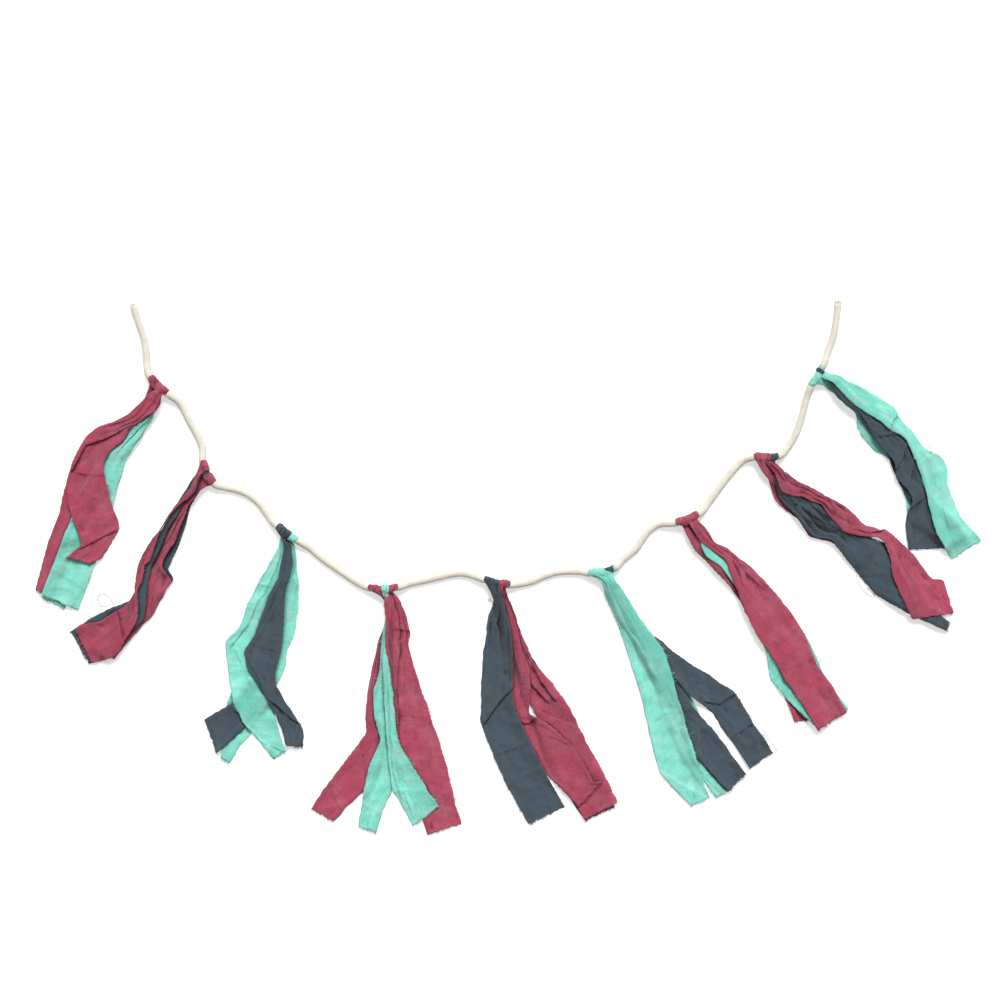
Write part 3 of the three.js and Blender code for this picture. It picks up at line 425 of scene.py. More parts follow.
# How a tail is folded. pleats is their number at the neck, gather the share of the tail in which
# they open out, tucks the shares of its spare width that are folded under its left and right edge.
# lift is how far its neck stands up in millimetres, hidden the share of the tail that lies under
# the tail laid before it, and waist how much narrower the cloth is halfway from knot to tail.
# A fold is a line across the tail, in its table's shares, then in millimetres how much higher the
# cloth is on the line's left side, how far it laps over the line, and how far from the line it
# levels out.
TAIL_STYLES = {
    (1, "inner left"): {"tucks": (0.4, 0.2), "folds": [
        ([(0.79, 0.1), (0.94, -0.22)], 1.0, 0.5, 8), ([(0.88, -0.8), (0.9, -0.3)], -0.7, 0.3, 5)]},
    (1, "inner right"): {"tucks": (1, 0), "folds": [([(0.13, 0.04), (0.3, -0.22)], 1.1, 0.5, 5)]},
    (1, "outer left"): {"tucks": (1, 0), "gather": 0.2},
    (1, "outer right"): {"tucks": (0.6, 0.2), "gather": 0.3, "folds": [
        ([(0.1, 0.14), (0.17, -0.23), (0.225, -0.53), (0.27, -0.81), (0.315, -1.15),
          (0.42, -1.24)], -2.8, 1.6, 9),
        ([(0.43, -1.05), (0.42, -0.75), (0.4, -0.45)], 1.6, 0.7, 6),
        ([(0.6, 0.25), (0.7, -0.3)], -2, 1, 10)]},
    (2, "inner left"): {"tucks": (0.5, 0.3), "gather": 0.5},
    (2, "inner right"): {"tucks": (0.3, 0.5), "gather": 0.5},
    (2, "outer left"): {"tucks": (0.5, 0.3), "gather": 0.5, "folds": [
        ([(0.635, -0.35), (0.713, 0.115)], -3.6, 1.2, 10),
        ([(0.5, -0.28), (0.6, 0.05)], 1.6, 0.8, 6),
        ([(0.06, -0.17), (0.2, -0.31), (0.35, -0.38), (0.5, -0.28)], 1.2, 0.5, 4)]},
    (2, "outer right"): {"tucks": (0.5, 0.1), "gather": 0.4, "folds": [
        ([(0.4, 0.08), (0.48, 0.2), (0.55, 0.35)], 1.6, 0.8, 6),
        ([(0.12, -0.1), (0.25, -0.05), (0.39, 0)], 1, 0.5, 4)]},
    (3, "inner left"): {"tucks": (0.2, 0.6), "folds": [
        ([(0.22, -0.5), (0.225, -0.12)], 1.1, 0.4, 4),
        ([(0.28, -0.45), (0.38, -0.62), (0.47, -0.95)], -1.9, 0.9, 8),
        ([(0.5, -0.85), (0.62, -0.35)], 1.1, 0.4, 9),
        ([(0.84, 0.05), (0.865, 0.65)], 1.2, 0.5, 6)]},
    (3, "inner right"): {"tucks": (0.7, 0), "gather": 0.25},
    (3, "outer left"): {"tucks": (0.5, 0.5), "pleats": 2, "waist": 0.4, "folds": [
        ([(0.02, 0.12), (0.1, 0.07), (0.18, 0.1)], 2, 0.8, 3),
        ([(0.2, 0.15), (0.35, -0.2), (0.47, -0.5)], 2, 0.9, 6),
        ([(0.46, -0.35), (0.47, 0.1)], 0.9, 0.4, 5),
        ([(0.52, -0.5), (0.58, -0.2), (0.66, 0.08), (0.68, 0.3), (0.73, 0.75), (0.75, 1.05)],
         2.4, 1.2, 7)]},
    (3, "outer right"): {"tucks": (0.5, 0.5), "folds": [
        ([(0.79, -1.25), (0.9, -0.92)], 1, 0.4, 5)]},
    (4, "inner left"): {"tucks": (0.6, 0.4), "waist": 0.3, "folds": [
        ([(0.58, -0.75), (0.68, -0.62), (0.78, -0.58)], -1.6, 0.8, 6),
        ([(0.78, -1.45), (0.87, -1.2)], 0.8, 0.3, 6),
        ([(0.84, -1.1), (0.87, -1.6)], 0.8, 0.3, 6)]},
    (4, "inner right"): {"tucks": (0.5, 0), "gather": 0.3, "lift": 2.5, "folds": [
        ([(0.03, 0.08), (0.1, 0.24), (0.2, 0.3), (0.4, 0.2), (0.55, 0.26)], -3, 1.6, 7),
        ([(0.155, 0.25), (0.165, 0.55)], 1.6, 0.7, 4), ([(0.2, 0.3), (0.19, 0.52)], -1.2, 0.5, 4),
        ([(0.5, 0.3), (0.51, 0.9)], 0.7, 0, 11), ([(0.6, 0.3), (0.62, 1.2)], -0.8, 0, 11)]},
    (4, "outer left"): {"tucks": (0.5, 0.3), "folds": [
        ([(0.78, -0.2), (0.94, -0.5)], 0.9, 0.4, 6)]},
    (4, "outer right"): {"tucks": (0.6, 0), "gather": 0.5, "hidden": 0.27, "folds": [
        ([(0.33, -0.02), (0.55, 0.08), (0.72, 0.12), (0.83, 0.32)], 1.6, 0.8, 6),
        ([(0.42, -0.06), (0.6, 0.02), (0.7, 0)], -1.2, 0.6, 5),
        ([(0.81, 0.15), (0.81, 0.42)], 0.9, 0.4, 5),
        ([(0.6, 0.1), (0.75, 0.3), (0.9, 0.6)], 1.2, 0.5, 6)]},
    (5, "inner left"): {"tucks": (0.1, 0.9), "gather": 0.25, "folds": [
        ([(0.04, -0.1), (0.12, -0.16), (0.2, -0.42)], -2.2, 1.2, 5),
        ([(0.04, -0.2), (0.1, -0.27), (0.16, -0.3)], -1.6, 0.9, 4),
        ([(0.42, -0.35), (0.46, -0.75), (0.52, -1.2)], -2.8, 1.8, 13),
        ([(0.66, -1.1), (0.65, -0.3)], 1, 0.4, 8),
        ([(0.2, 0), (0.3, -0.14), (0.4, -0.34)], 1.5, 0.7, 5)]},
    (5, "inner right"): {"tucks": (0.5, 0.5)},
    (5, "outer left"): {"tucks": (0.6, 0.4), "folds": [
        ([(0.555, -0.42), (0.575, -0.2), (0.56, 0.02)], 2, 1.2, 7),
        ([(0.65, 0.3), (0.69, 0.6), (0.72, 0.9)], 1, 0.4, 9)]},
    (5, "outer right"): {"tucks": (0.8, 0), "gather": 0.45, "folds": [
        ([(0.25, 0.18), (0.33, 0.3), (0.42, 0.4), (0.5, 0.6)], 3, 1.6, 5),
        ([(0.34, 0.08), (0.42, 0.15), (0.5, 0.4)], 3, 1.6, 6),
        ([(0.54, 0.2), (0.58, 0.5), (0.62, 0.85)], -2, 0.6, 10)]},
    (6, "inner left"): {"tucks": (0.5, 0.3)},
    (6, "inner right"): {"tucks": (0.5, 0), "folds": [
        ([(0.63, 0.85), (0.66, 1.1), (0.65, 1.55)], 2, 0.9, 7),
        ([(0.8, 1), (0.79, 1.65)], 1.6, 0.7, 5)]},
    (6, "outer left"): {"tucks": (0.6, 0), "pleats": 4, "gather": 0.35, "waist": 0.3, "folds": [
        ([(0.03, -0.08), (0.14, -0.12), (0.24, -0.2)], -0.9, 0.5, 6),
        ([(0.14, 0), (0.32, 0.02), (0.6, -0.25)], 0.6, 0, 10),
        ([(0.61, -0.7), (0.6, -0.2), (0.62, 0.15)], 0.7, 0.2, 9),
        ([(0.97, -0.62), (0.93, -0.4)], 1.4, 0.6, 5)]},
    (6, "outer right"): {"tucks": (0.7, 0.2)},
    (7, "inner left"): {"tucks": (0.2, 0.2)},
    (7, "inner right"): {"tucks": (0.5, 0.2)},
    (7, "outer left"): {"tucks": (0.2, 0.7), "gather": 0.3},
    (7, "outer right"): {"tucks": (0.2, 0.4), "gather": 0.4, "folds": [
        ([(0.04, 0.02), (0.1, 0.12), (0.16, 0.24), (0.24, 0.42), (0.35, 0.6)], 1.5, 0.7, 6),
        ([(0.13, 0.24), (0.2, 0.42), (0.28, 0.6), (0.4, 0.8)], 1.2, 0.5, 5),
        ([(0.53, -0.05), (0.53, 0.9)], 0.7, 0.2, 12), ([(0.62, 0), (0.6, 0.9)], -0.6, 0, 10),
        ([(0.7, 0.05), (0.72, 0.85)], 0.6, 0, 10)]},
    (8, "inner left"): {"tucks": (0.2, 0.3), "gather": 0.4},
    (8, "inner right"): {"tucks": (0.3, 0.3), "pleats": 4, "gather": 0.55, "folds": [
        ([(0.1, -0.32), (0.2, -0.33), (0.3, -0.2), (0.42, 0)], 3, 1.6, 5),
        ([(0.12, -0.15), (0.2, -0.18), (0.3, -0.02), (0.44, 0.15)], 2.6, 1.4, 4),
        ([(0.24, -0.5), (0.33, -0.3)], 1.2, 0.5, 4),
        ([(0.6, -0.4), (0.7, 0.3)], 0.8, 0, 10)]},
    (8, "outer left"): {"tucks": (0.2, 0.5)},
    (8, "outer right"): {"tucks": (0.3, 0.3), "gather": 0.5, "folds": [
        ([(0.04, -0.05), (0.1, -0.1), (0.17, -0.02), (0.28, 0.18), (0.38, 0.26)], 2.6, 1.4, 5),
        ([(0.08, -0.02), (0.15, 0.05), (0.24, 0.22), (0.34, 0.44)], 2, 1, 4),
        ([(0.45, 0.3), (0.5, 0.5), (0.53, 0.78)], 2.8, 1.5, 5),
        ([(0.6, 0.55), (0.75, 0.2), (0.86, -0.1)], 1, 0.2, 12),
        ([(0.77, 0.62), (0.95, 0.62)], -1.6, 0.7, 6)]},
    (9, "inner left"): {"tucks": (0.2, 0.2)},
    (9, "inner right"): {"tucks": (0.3, 0), "gather": 0.25, "folds": [
        ([(0.33, 0.6), (0.31, 0.8), (0.3, 1.12)], 2.4, 1.4, 9),
        ([(0.2, 0.55), (0.29, 0.85)], 1, 0.4, 5),
        ([(0.505, 0.65), (0.5, 0.9), (0.51, 1.15)], -1.4, 0.5, 8),
        ([(0.58, 0.85), (0.77, 0.4)], 0.8, 0, 9)]},
    (9, "outer left"): {"tucks": (0.2, 0.2)},
    (9, "outer right"): {"tucks": (0.5, 0.3), "gather": 0.3, "folds": [
        ([(0.29, 0.25), (0.33, 0.35), (0.36, 0.3)], 1.6, 0.7, 5),
        ([(0.325, 0.3), (0.34, 0.5), (0.37, 0.8)], 2.4, 1.2, 8),
        ([(0.47, 0.2), (0.45, 0.45), (0.42, 0.72)], 2.4, 1.2, 7),
        ([(0.57, 0.08), (0.54, 0.3), (0.5, 0.55)], 2, 1, 7),
        ([(0.63, -0.15), (0.63, 0.25)], 1.6, 0.7, 7)]},
}
PLAIN_STYLE = {"pleats": 3, "gather": 0.35, "tucks": (0.5, 0.5), "lift": 0, "hidden": 0,
               "waist": -0.05, "folds": []}


# Sizes and colours


def linear(code):
    """A colour written as a web code, in the linear values that shaders take"""
    values = [int(code[i:i + 2], 16) / 255 for i in (1, 3, 5)]
    return tuple(v / 12.92 if v <= 0.04045 else ((v + 0.055) / 1.055) ** 2.4 for v in values)


def length(name, description, default):
    return bpy.props.FloatProperty(
        name=name, description=description, default=default, min=0, precision=4, unit="LENGTH")


def colour(name, description, code):
    return bpy.props.FloatVectorProperty(
        name=name, description=description, default=linear(code), size=3, min=0, max=1,
        subtype="COLOR")


class GarlandSizes(bpy.types.PropertyGroup):
    """Lengths of the rope and the cloth"""

    rope_diameter: length("Rope diameter", "Thickness of the cotton rope", 7.2 * MM)
    strip_width: length("Strip width", "Width that a strip is torn to", 40 * MM)
    tail_length: length("Tail length", "Length of the longest tail from its knot", 250 * MM)
    cloth_thickness: length("Cloth thickness", "Thickness of the cotton cloth", 0.4 * MM)
    thread_diameter: length("Thread diameter", "Thickness of a frayed thread", 0.34 * MM)
    photo_pixel: length("Photo pixel", "Size of a pixel of the photograph on the table", 1 * MM)


class GarlandColours(bpy.types.PropertyGroup):
    """Colours of the rope, the cloth and the table"""

    rope: colour("Rope", "Natural cotton of the rope", "#EFEADB")
    crimson: colour("Crimson", "Red cloth", "#AE455D")
    mint: colour("Mint", "Green cloth", "#86E1CE")
    slate: colour("Slate", "Grey blue cloth", "#43515C")
    thread: colour("Loose thread", "Stray threads of undyed cotton", "#B4AEA4")
    table: colour("Table", "White table top", "#F2F2F2")


# Places


def place(pixel, height=0.0):
    """A pixel of the photograph as a point over the table"""
    size = bpy.context.scene.garland_sizes.photo_pixel
    return np.array([
        (pixel[0] - ORIGIN_PIXEL[0]) * size,
        (ORIGIN_PIXEL[1] - pixel[1]) * size,
        height,
    ])


def way(degrees):
    """The level way that an angle from +X points"""
    angle = math.radians(degrees)
    return np.array([math.cos(angle), math.sin(angle), 0.0])


def smooth(value, low, high):
    """0 below low, 1 above high, and an even curve between them"""
    t = np.clip((value - low) / (high - low), 0, 1)
    return t * t * (3 - 2 * t)


def ripples(rng, along, across, shortest, longest, count=7):
    """Waves of many lengths and ways, from about -1 to 1"""
    total = np.zeros(np.broadcast(along, across).shape)
    for _ in range(count):
        wave = shortest * (longest / shortest) ** rng.random()
        turn, phase = rng.random(2) * 2 * math.pi
        forth = along * math.cos(turn) + across * math.sin(turn)
        total += np.sin(forth * 2 * math.pi / wave + phase)
    return total / math.sqrt(count)


def distances(line):
    """How far along a line of points each of them lies"""
    return np.concatenate([[0], np.cumsum(np.linalg.norm(np.diff(line, axis=0), axis=1))])


def points_at(spots, run, line):
    """The points of a line at some distances along it. run holds those of its own points."""
    return np.stack([np.interp(spots, run, line[:, i]) for i in range(line.shape[1])], -1)


def ease(line, times):
    """Draws the points of a line closer to their neighbours. Its two ends stay."""
    for _ in range(times):
        line[1:-1] = (line[:-2] + 2 * line[1:-1] + line[2:]) / 4
    return line


# Meshes


def mesh_object(name, points, faces, material, uv=None, shade=None):
    """An object of points and faces. shade is how much painted shade darkens each point."""
    mesh = bpy.data.meshes.new(name)
    mesh.from_pydata(np.asarray(points, float).reshape(-1, 3).tolist(), [], faces)
    if shade is not None:
        values = np.ascontiguousarray(shade, np.float32).ravel()
        mesh.attributes.new("shade", "FLOAT", "POINT").data.foreach_set("value", values)
    if uv is not None:
        layer = mesh.uv_layers.new(name="cloth")
        corners = np.zeros(len(mesh.loops), np.int32)
        mesh.loops.foreach_get("vertex_index", corners)
        layer.data.foreach_set("uv", np.asarray(uv, np.float32).reshape(-1, 2)[corners].ravel())
    mesh.polygons.foreach_set("use_smooth", [True] * len(mesh.polygons))
    mesh.materials.append(material)
    mesh.update()
    thing = bpy.data.objects.new(name, mesh)
    bpy.context.scene.collection.objects.link(thing)
    return thing


def grid_faces(rows, columns):
    """Faces of a sheet whose points run row by row"""
    index = np.arange(rows * columns).reshape(rows, columns)
    corners = [index[:-1, :-1], index[1:, :-1], index[1:, 1:], index[:-1, 1:]]
    return np.stack(corners, -1).reshape(-1, 4).tolist()


def tube(points, radii, sides):
    """Points and faces of closed tubes. points is (tubes, rings, 3), radii (tubes, rings)."""
    count, rings, _ = points.shape
    tangent = np.gradient(points, axis=1)
    tangent /= np.linalg.norm(tangent, axis=2, keepdims=True) + TINY
    side = np.cross(tangent, [0.0, 0.0, 1.0])
    flat = np.linalg.norm(side, axis=2, keepdims=True)
    side = np.where(flat > 1e-3, side / (flat + TINY), [1.0, 0.0, 0.0])
    up = np.cross(side, tangent)
    turn = np.arange(sides) * 2 * math.pi / sides
    ring = (side[:, :, None] * np.cos(turn)[:, None] + up[:, :, None] * np.sin(turn)[:, None])
    corners = points[:, :, None] + ring * radii[:, :, None, None]
    index = np.arange(count * rings * sides).reshape(count, rings, sides)
    beside = np.roll(index, -1, axis=2)
    walls = np.stack([index[:, :-1], beside[:, :-1], beside[:, 1:], index[:, 1:]], -1)
    faces = walls.reshape(-1, 4).tolist()
    faces += index[:, 0, ::-1].tolist() + index[:, -1].tolist()
    return corners.reshape(-1, 3), faces


# Rope

# How finely the rope's curve is drawn between its points, how often it is eased, and its steps
ROPE_CURVE_STEPS = 24
ROPE_EASING = 24
ROPE_STEP = 1.6 * MM


def rope_points():
    """The points that the rope's route is drawn through, as the knots and the table hold it"""
    points = []
    for number, stretch in enumerate(ROPE_STRETCHES):
        points += [place(pixel, ROPE_REST) for pixel in stretch]
        if number == len(TASSELS):
            break
        tassel = TASSELS[number]
        knot = place(tassel["rope_pixel"], ROPE_LIFT)
        for share in (-STRAIGHT_SHARE, -1, 0, 1, STRAIGHT_SHARE):
            points.append(knot + way(tassel["rope_turn"]) * share * KNOT_REACH)
    return np.array(points)


def rope_route():
    """A centripetal curve through the rope's points, eased, with a point every ROPE_STEP"""
    points = rope_points()
    points = np.vstack([2 * points[0] - points[1], points, 2 * points[-1] - points[-2]])
    fine = []
    for p0, p1, p2, p3 in zip(points, points[1:], points[2:], points[3:]):
        d0, d1, d2 = (max(math.sqrt(np.linalg.norm(b - a)), 1e-4)
                      for a, b in ((p0, p1), (p1, p2), (p2, p3)))
        m1 = ((p1 - p0) / d0 - (p2 - p0) / (d0 + d1) + (p2 - p1) / d1) * d1
        m2 = ((p2 - p1) / d1 - (p3 - p1) / (d1 + d2) + (p3 - p2) / d2) * d1
        t = np.linspace(0, 1, ROPE_CURVE_STEPS, endpoint=False)[:, None]
        fine.append(p1 + m1 * t + (3 * (p2 - p1) - 2 * m1 - m2) * t ** 2
                    + (2 * (p1 - p2) + m1 + m2) * t ** 3)
    line = np.vstack(fine + [points[-2:-1]])
    run = distances(line)
    even = np.linspace(0, run[-1], int(run[-1] / ROPE_STEP) + 1)
    return ease(points_at(even, run, line), ROPE_EASING)


ROPE_SEED = 41
ROPE_SIDES = 28
ROPE_TABLE_GAP = 0.05 * MM
ROPE_LUMP_SHARE = 0.03
ROPE_LUMP_WAVES = (7 * MM, 45 * MM)
ROPE_FUZZ_SHARE = 0.02
ROPE_FUZZ_WAVES = (2.5 * MM, 9 * MM)
ROPE_END_SHARE = 0.86
ROPE_END_REACH = 2.5 * MM

# How much thinner the rope is where a knot squeezes it, and as far as cloth is wound round it.
# KNOT_ROOM_SLOPE says where the room begins and where it is full, as shares of the way from the
# wound cloth's end to its middle.
KNOT_SQUEEZE = 0.15
KNOT_ROOM = 0.35
KNOT_ROOM_SLOPE = (0.05, 0.4)


def squeeze(reach):
    """How much thinner the rope is in a knot, at some reach from the knot's middle"""
    return KNOT_SQUEEZE * np.clip(1 - (reach / KNOT_REACH) ** 2, 0, 1)


def build_rope(sizes, material):
    """The rope, thinner in its knots and at its ends, and the threads of its cut ends"""
    rng = np.random.default_rng(ROPE_SEED)
    route = rope_route()
    run = np.arange(len(route)) * ROPE_STEP
    lumps = 1 + ROPE_LUMP_SHARE * ripples(rng, run, 0 * run, *ROPE_LUMP_WAVES)
    from_end = np.minimum(run, run[-1] - run)
    lumps *= ROPE_END_SHARE + (1 - ROPE_END_SHARE) * smooth(from_end, 0, ROPE_END_REACH)
    for tassel in TASSELS:
        off = route - place(tassel["rope_pixel"])
        lumps *= 1 - squeeze(np.linalg.norm(off[:, :2], axis=1))
        legs = np.array([tassel[layer]["leg_shares"] for layer in ("inner", "outer")])
        start, end = legs.min() * KNOT_REACH, legs.max() * KNOT_REACH
        inside = 1 - np.abs(off @ way(tassel["rope_turn"]) - (start + end) / 2) * 2 / (end - start)
        lumps *= 1 - KNOT_ROOM * smooth(inside, *KNOT_ROOM_SLOPE)
    radius = sizes.rope_diameter / 2
    points, faces = tube(route[None], (radius * lumps)[None], ROPE_SIDES)
    turn = np.tile(np.arange(ROPE_SIDES) / ROPE_SIDES * 2 * math.pi, len(route))
    far = np.repeat(run, ROPE_SIDES)
    fuzz = ripples(rng, far, turn * radius, *ROPE_FUZZ_WAVES)
    centre = np.repeat(route, ROPE_SIDES, axis=0)
    points = centre + (points - centre) * (1 + ROPE_FUZZ_SHARE * fuzz)[:, None]
    points[:, 2] = np.maximum(points[:, 2], ROPE_TABLE_GAP)
    uv = np.stack([turn * radius, far], 1)
    rope = mesh_object("cotton_rope", points, faces, material, uv)
    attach(rope, "rope_body")
    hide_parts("rope")
    tufts = [rope_tuft(rng, route, radius, end, material) for end in ("left", "right")]


TUFT_THREADS = {"left": 110, "right": 150}
TUFT_LENGTH = {"left": 1.6 * MM, "right": 2.6 * MM}
TUFT_SPREAD_SHARE = {"left": 0.35, "right": 0.75}
TUFT_BEND = 0.25
TUFT_DROOP = 0.25
TUFT_ROOT = -0.3
TUFT_RINGS = 5
TUFT_SIDES = 4
TUFT_TIP_SHARE = 0.5
TUFT_RADIUS = 0.2 * MM
TUFT_HEIGHT = 0.3 * MM


def rope_tuft(rng, route, radius, end, material):
    """The cut threads that stand out of one end of the rope"""
    tip, behind = (route[0], route[2]) if end == "left" else (route[-1], route[-3])
    out = (tip - behind) / np.linalg.norm(tip - behind)
    side = np.cross(out, [0, 0, 1.0])
    side /= np.linalg.norm(side)
    up = np.cross(side, out)
    count = TUFT_THREADS[end]
    off = radius * ROPE_END_SHARE * np.sqrt(rng.random(count))
    turn = rng.random(count) * 2 * math.pi
    foot = side * (off * np.cos(turn))[:, None] + up * (off * np.sin(turn))[:, None]
    spread = TUFT_SPREAD_SHARE[end]
    reach = TUFT_LENGTH[end] * (0.4 + rng.random(count))
    lean = foot / radius * spread + rng.normal(0, TUFT_BEND, (count, 3))
    t = np.linspace(TUFT_ROOT, 1, TUFT_RINGS)[None, :, None]
    droop = np.array([0, 0, -TUFT_DROOP])
    points = (tip + foot)[:, None] + reach[:, None, None] * (
        out * t + lean[:, None] * t * np.abs(t) + droop * t ** 2 * spread)
    points[..., 2] = np.maximum(points[..., 2], TUFT_HEIGHT)
    radii = np.full((count, TUFT_RINGS), TUFT_RADIUS) * np.linspace(1, TUFT_TIP_SHARE, TUFT_RINGS)
    corners, faces = tube(points, radii, TUFT_SIDES)
    tuft = mesh_object(f"rope_{end}_end_threads", corners, faces, material,
                       np.zeros((len(corners), 2)))
    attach(tuft, "rope_body")
    return tuft


# Tails

# The grid that tails are laid on: its reach from their middle in lengths of the longest tail, the
# size of its cells, how many cells beside it a sheet also holds up the next one, and how often the
# heights are blurred
GROUND_SHARE = 0.85
GROUND_CELL = 1 * MM
GROUND_SPREAD = 3
GROUND_BLUR = 8


class Ground:
    """How high and how dark the table and the cloth on it are, on a grid over a tassel"""

    def __init__(self, middle, reach):
        self.cell = GROUND_CELL
        self.corner = middle[:2] - reach
        self.count = int(2 * reach / self.cell) + 1
        self.height = np.zeros((self.count, self.count))
        self.smoothed = self.before = self.dark = self.height

    def spots(self, points):
        """Where points are on the grid, in cells"""
        return (points[..., :2] - self.corner) / self.cell

    def add(self, points, darkness):
        """Takes in the upper side of a sheet whose points run row by row"""
        for axis in (0, 1):
            middle = (points.take(range(1, points.shape[axis]), axis)
                      + points.take(range(points.shape[axis] - 1), axis)) / 2
            both = np.zeros([2 * n - 1 if i == axis else n for i, n in enumerate(points.shape)])
            whole, half = [slice(None)] * 3, [slice(None)] * 3
            whole[axis], half[axis] = slice(0, None, 2), slice(1, None, 2)
            both[tuple(whole)], both[tuple(half)] = points, middle
            points = both
        spots = np.rint(self.spots(points)).astype(int).clip(0, self.count - 1)
        cells = spots[..., 0].ravel(), spots[..., 1].ravel()
        np.maximum.at(self.height, cells, points[..., 2].ravel())
        self.before = self.smoothed
        self.smoothed = self.blur(self.spread(self.height, GROUND_SPREAD), GROUND_BLUR)
        self.dark = self.dark.copy()
        self.dark[cells] = darkness

    @staticmethod
    def spread(height, reach):
        """The highest of each cell's neighbours, in a square"""
        for axis in (0, 1):
            height = np.max([np.roll(height, k, axis) for k in range(-reach, reach + 1)], axis=0)
        return height

    @staticmethod
    def blur(height, times):
        """The grid with each cell drawn towards its neighbours"""
        for _ in range(times):
            for axis in (0, 1):
                height = (np.roll(height, 1, axis) + 2 * height + np.roll(height, -1, axis)) / 4
        return height

    def read(self, values, points):
        """The values of a grid at some points, between its cells"""
        spots = self.spots(points).clip(0, self.count - 1.001)
        low = spots.astype(int)
        part = spots - low
        x, y = low[..., 0], low[..., 1]
        u, v = part[..., 0], part[..., 1]
        return ((values[x, y] * (1 - u) + values[x + 1, y] * u) * (1 - v)
                + (values[x, y + 1] * (1 - u) + values[x + 1, y + 1] * u) * v)

    def under(self, points):
        """How high what lies under a new sheet stands"""
        return self.read(self.smoothed, points)

    def under_last(self, points):
        """How high what lies under the last sheet stands"""
        return self.read(self.before, points)

    def darkness(self, points):
        """How dark what lies under a new sheet is"""
        return self.read(self.blur(self.dark, 1), points)

    def beside(self, points):
        """How far the cloth near each point stands over it, from 0 to 1"""
        near = self.read(self.blur(self.spread(self.height, 1), 2), points)
        return np.clip((near - points[..., 2] - CONTACT_STEP) / CONTACT_RISE, 0, 1)


# The cloth that is folded under an edge
TUCK_RISE = 0.9 * MM
TUCK_LAYER = 0.2 * MM
TUCK_DEPTH_SHARE = 0.75
TUCK_FULL = 2 * MM
TUCK_SLOPE = 3.5 * MM

# Pleats: how high they stand and how far they lap, and what of them remains where they open out
PLEAT_RISE = 3.2 * MM
PLEAT_LAP_SHARE = 7
PLEAT_OVERHANG = 0.04
PLEAT_UNEVENNESS = 0.05
PLEAT_START = 0.04
PLEAT_REMNANT = 0.07
FULL_GATHER = 0.6
LAP_RISE_SHARE = 0.25
LAP_SLOPE = (0.7, 1.3)
SWAY_WAVES = (45 * MM, 120 * MM, 4)

# Ripples, which are calmer near the knot. Waves are the shortest and longest, and their number.
NECK_RISE = 1.8 * MM
NECK_REACH = 42 * MM
NECK_CALM = 0.35
CALM_SLOPE = np.array([0.1, 0.4])
RIPPLE_RISE = 0.9 * MM
RIPPLE_STRETCH = 1.6
RIPPLE_WAVES = (14 * MM, 60 * MM)
SMALL_RIPPLE_SHARE = 0.14
SMALL_RIPPLE_WAVES = (4 * MM, 12 * MM, 9)

# Edges: how unevenly they are torn, and how far they lift
LEAST_ROWS = 8
EDGE_EASING = 4
EDGE_WANDER = 0.45 * MM
EDGE_NIBBLE = 0.18 * MM
WANDER_WAVES = (10 * MM, 40 * MM)
NIBBLE_WAVES = (3 * MM, 6 * MM)
TUCKED_CALM = 1.5
END_WAVES = (3 * MM, 14 * MM)
END_WANDER_REACH = 6 * MM
END_OVERHANG = 0.9 * MM
EDGE_LIFT = 1.5 * MM
EDGE_LIFT_REACH = 5 * MM
EDGE_LIFT_LIMIT = 1.6
FLUTTER_WAVES = (22 * MM, 70 * MM)

# How a sheet lies on others, and how it dips where it lies under the one laid before it
LAY_GAP = 0.35 * MM
HIDDEN_DIP = 3 * MM
HIDDEN_FLATNESS = 0.6
HIDDEN_SLOPE = 0.05

# The cloth's weight presses a stack of it down above this height, to this share of its height
SETTLE_ABOVE = 9 * MM
SETTLE_SHARE = 0.3

# How dark each cloth is, how much painted shade a cloth gets from the cloth that lies under it,
# as though that showed through it, and how much painted shade darkens a point that lies as deep
# as HOLLOW_DEPTH between its neighbours
DARKNESS = {"mint": 0.3, "crimson": 0.75, "slate": 1}
PAINTED_SHOW_THROUGH = {"mint": 0.42, "crimson": 0.2, "slate": 0.08}
HOLLOW_FLOOR = 0.25 * MM
HOLLOW_DEPTH = 0.8 * MM
HOLLOW_SHADE = {"mint": 0.5, "crimson": 0.9, "slate": 0.95}
PLEAT_SHARE = {"mint": 0.5, "crimson": 0.9, "slate": 0.9}
HOLLOW_REACH = 3
WIDE_HOLLOW = 3
WIDE_HOLLOW_SHARE = 0.7

# How much painted shadow darkens cloth beside cloth that stands over it by more than
# CONTACT_STEP, and by how much more that cloth stands where the painted shadow is full
CONTACT_SHADE = {"mint": 0.5, "crimson": 0.8, "slate": 0.8}
CONTACT_STEP = 0.9 * MM
CONTACT_RISE = 2.5 * MM


def settle(height):
    """Heights after the cloth's weight has pressed them down"""
    return np.where(height > SETTLE_ABOVE,
                    SETTLE_ABOVE + (height - SETTLE_ABOVE) * SETTLE_SHARE, height)


def hollows(high, reach, floor, depth):
    """How deep each point of a sheet lies between its neighbours, from 0 at floor to 1"""
    near = high
    for axis in (0, 1):
        margin = [(reach, reach) if i == axis else (0, 0) for i in (0, 1)]
        padded = np.pad(near, margin, mode="edge")
        near = np.mean([padded.take(range(k, k + high.shape[axis]), axis)
                        for k in range(2 * reach + 1)], axis=0)
    return np.clip((near - high - floor) / depth, 0, 1)


def zigzag(far, reach):
    """How far from a fold the cloth lies that runs back and forth under it"""
    return reach - np.abs(np.mod(far, 2 * reach) - reach)


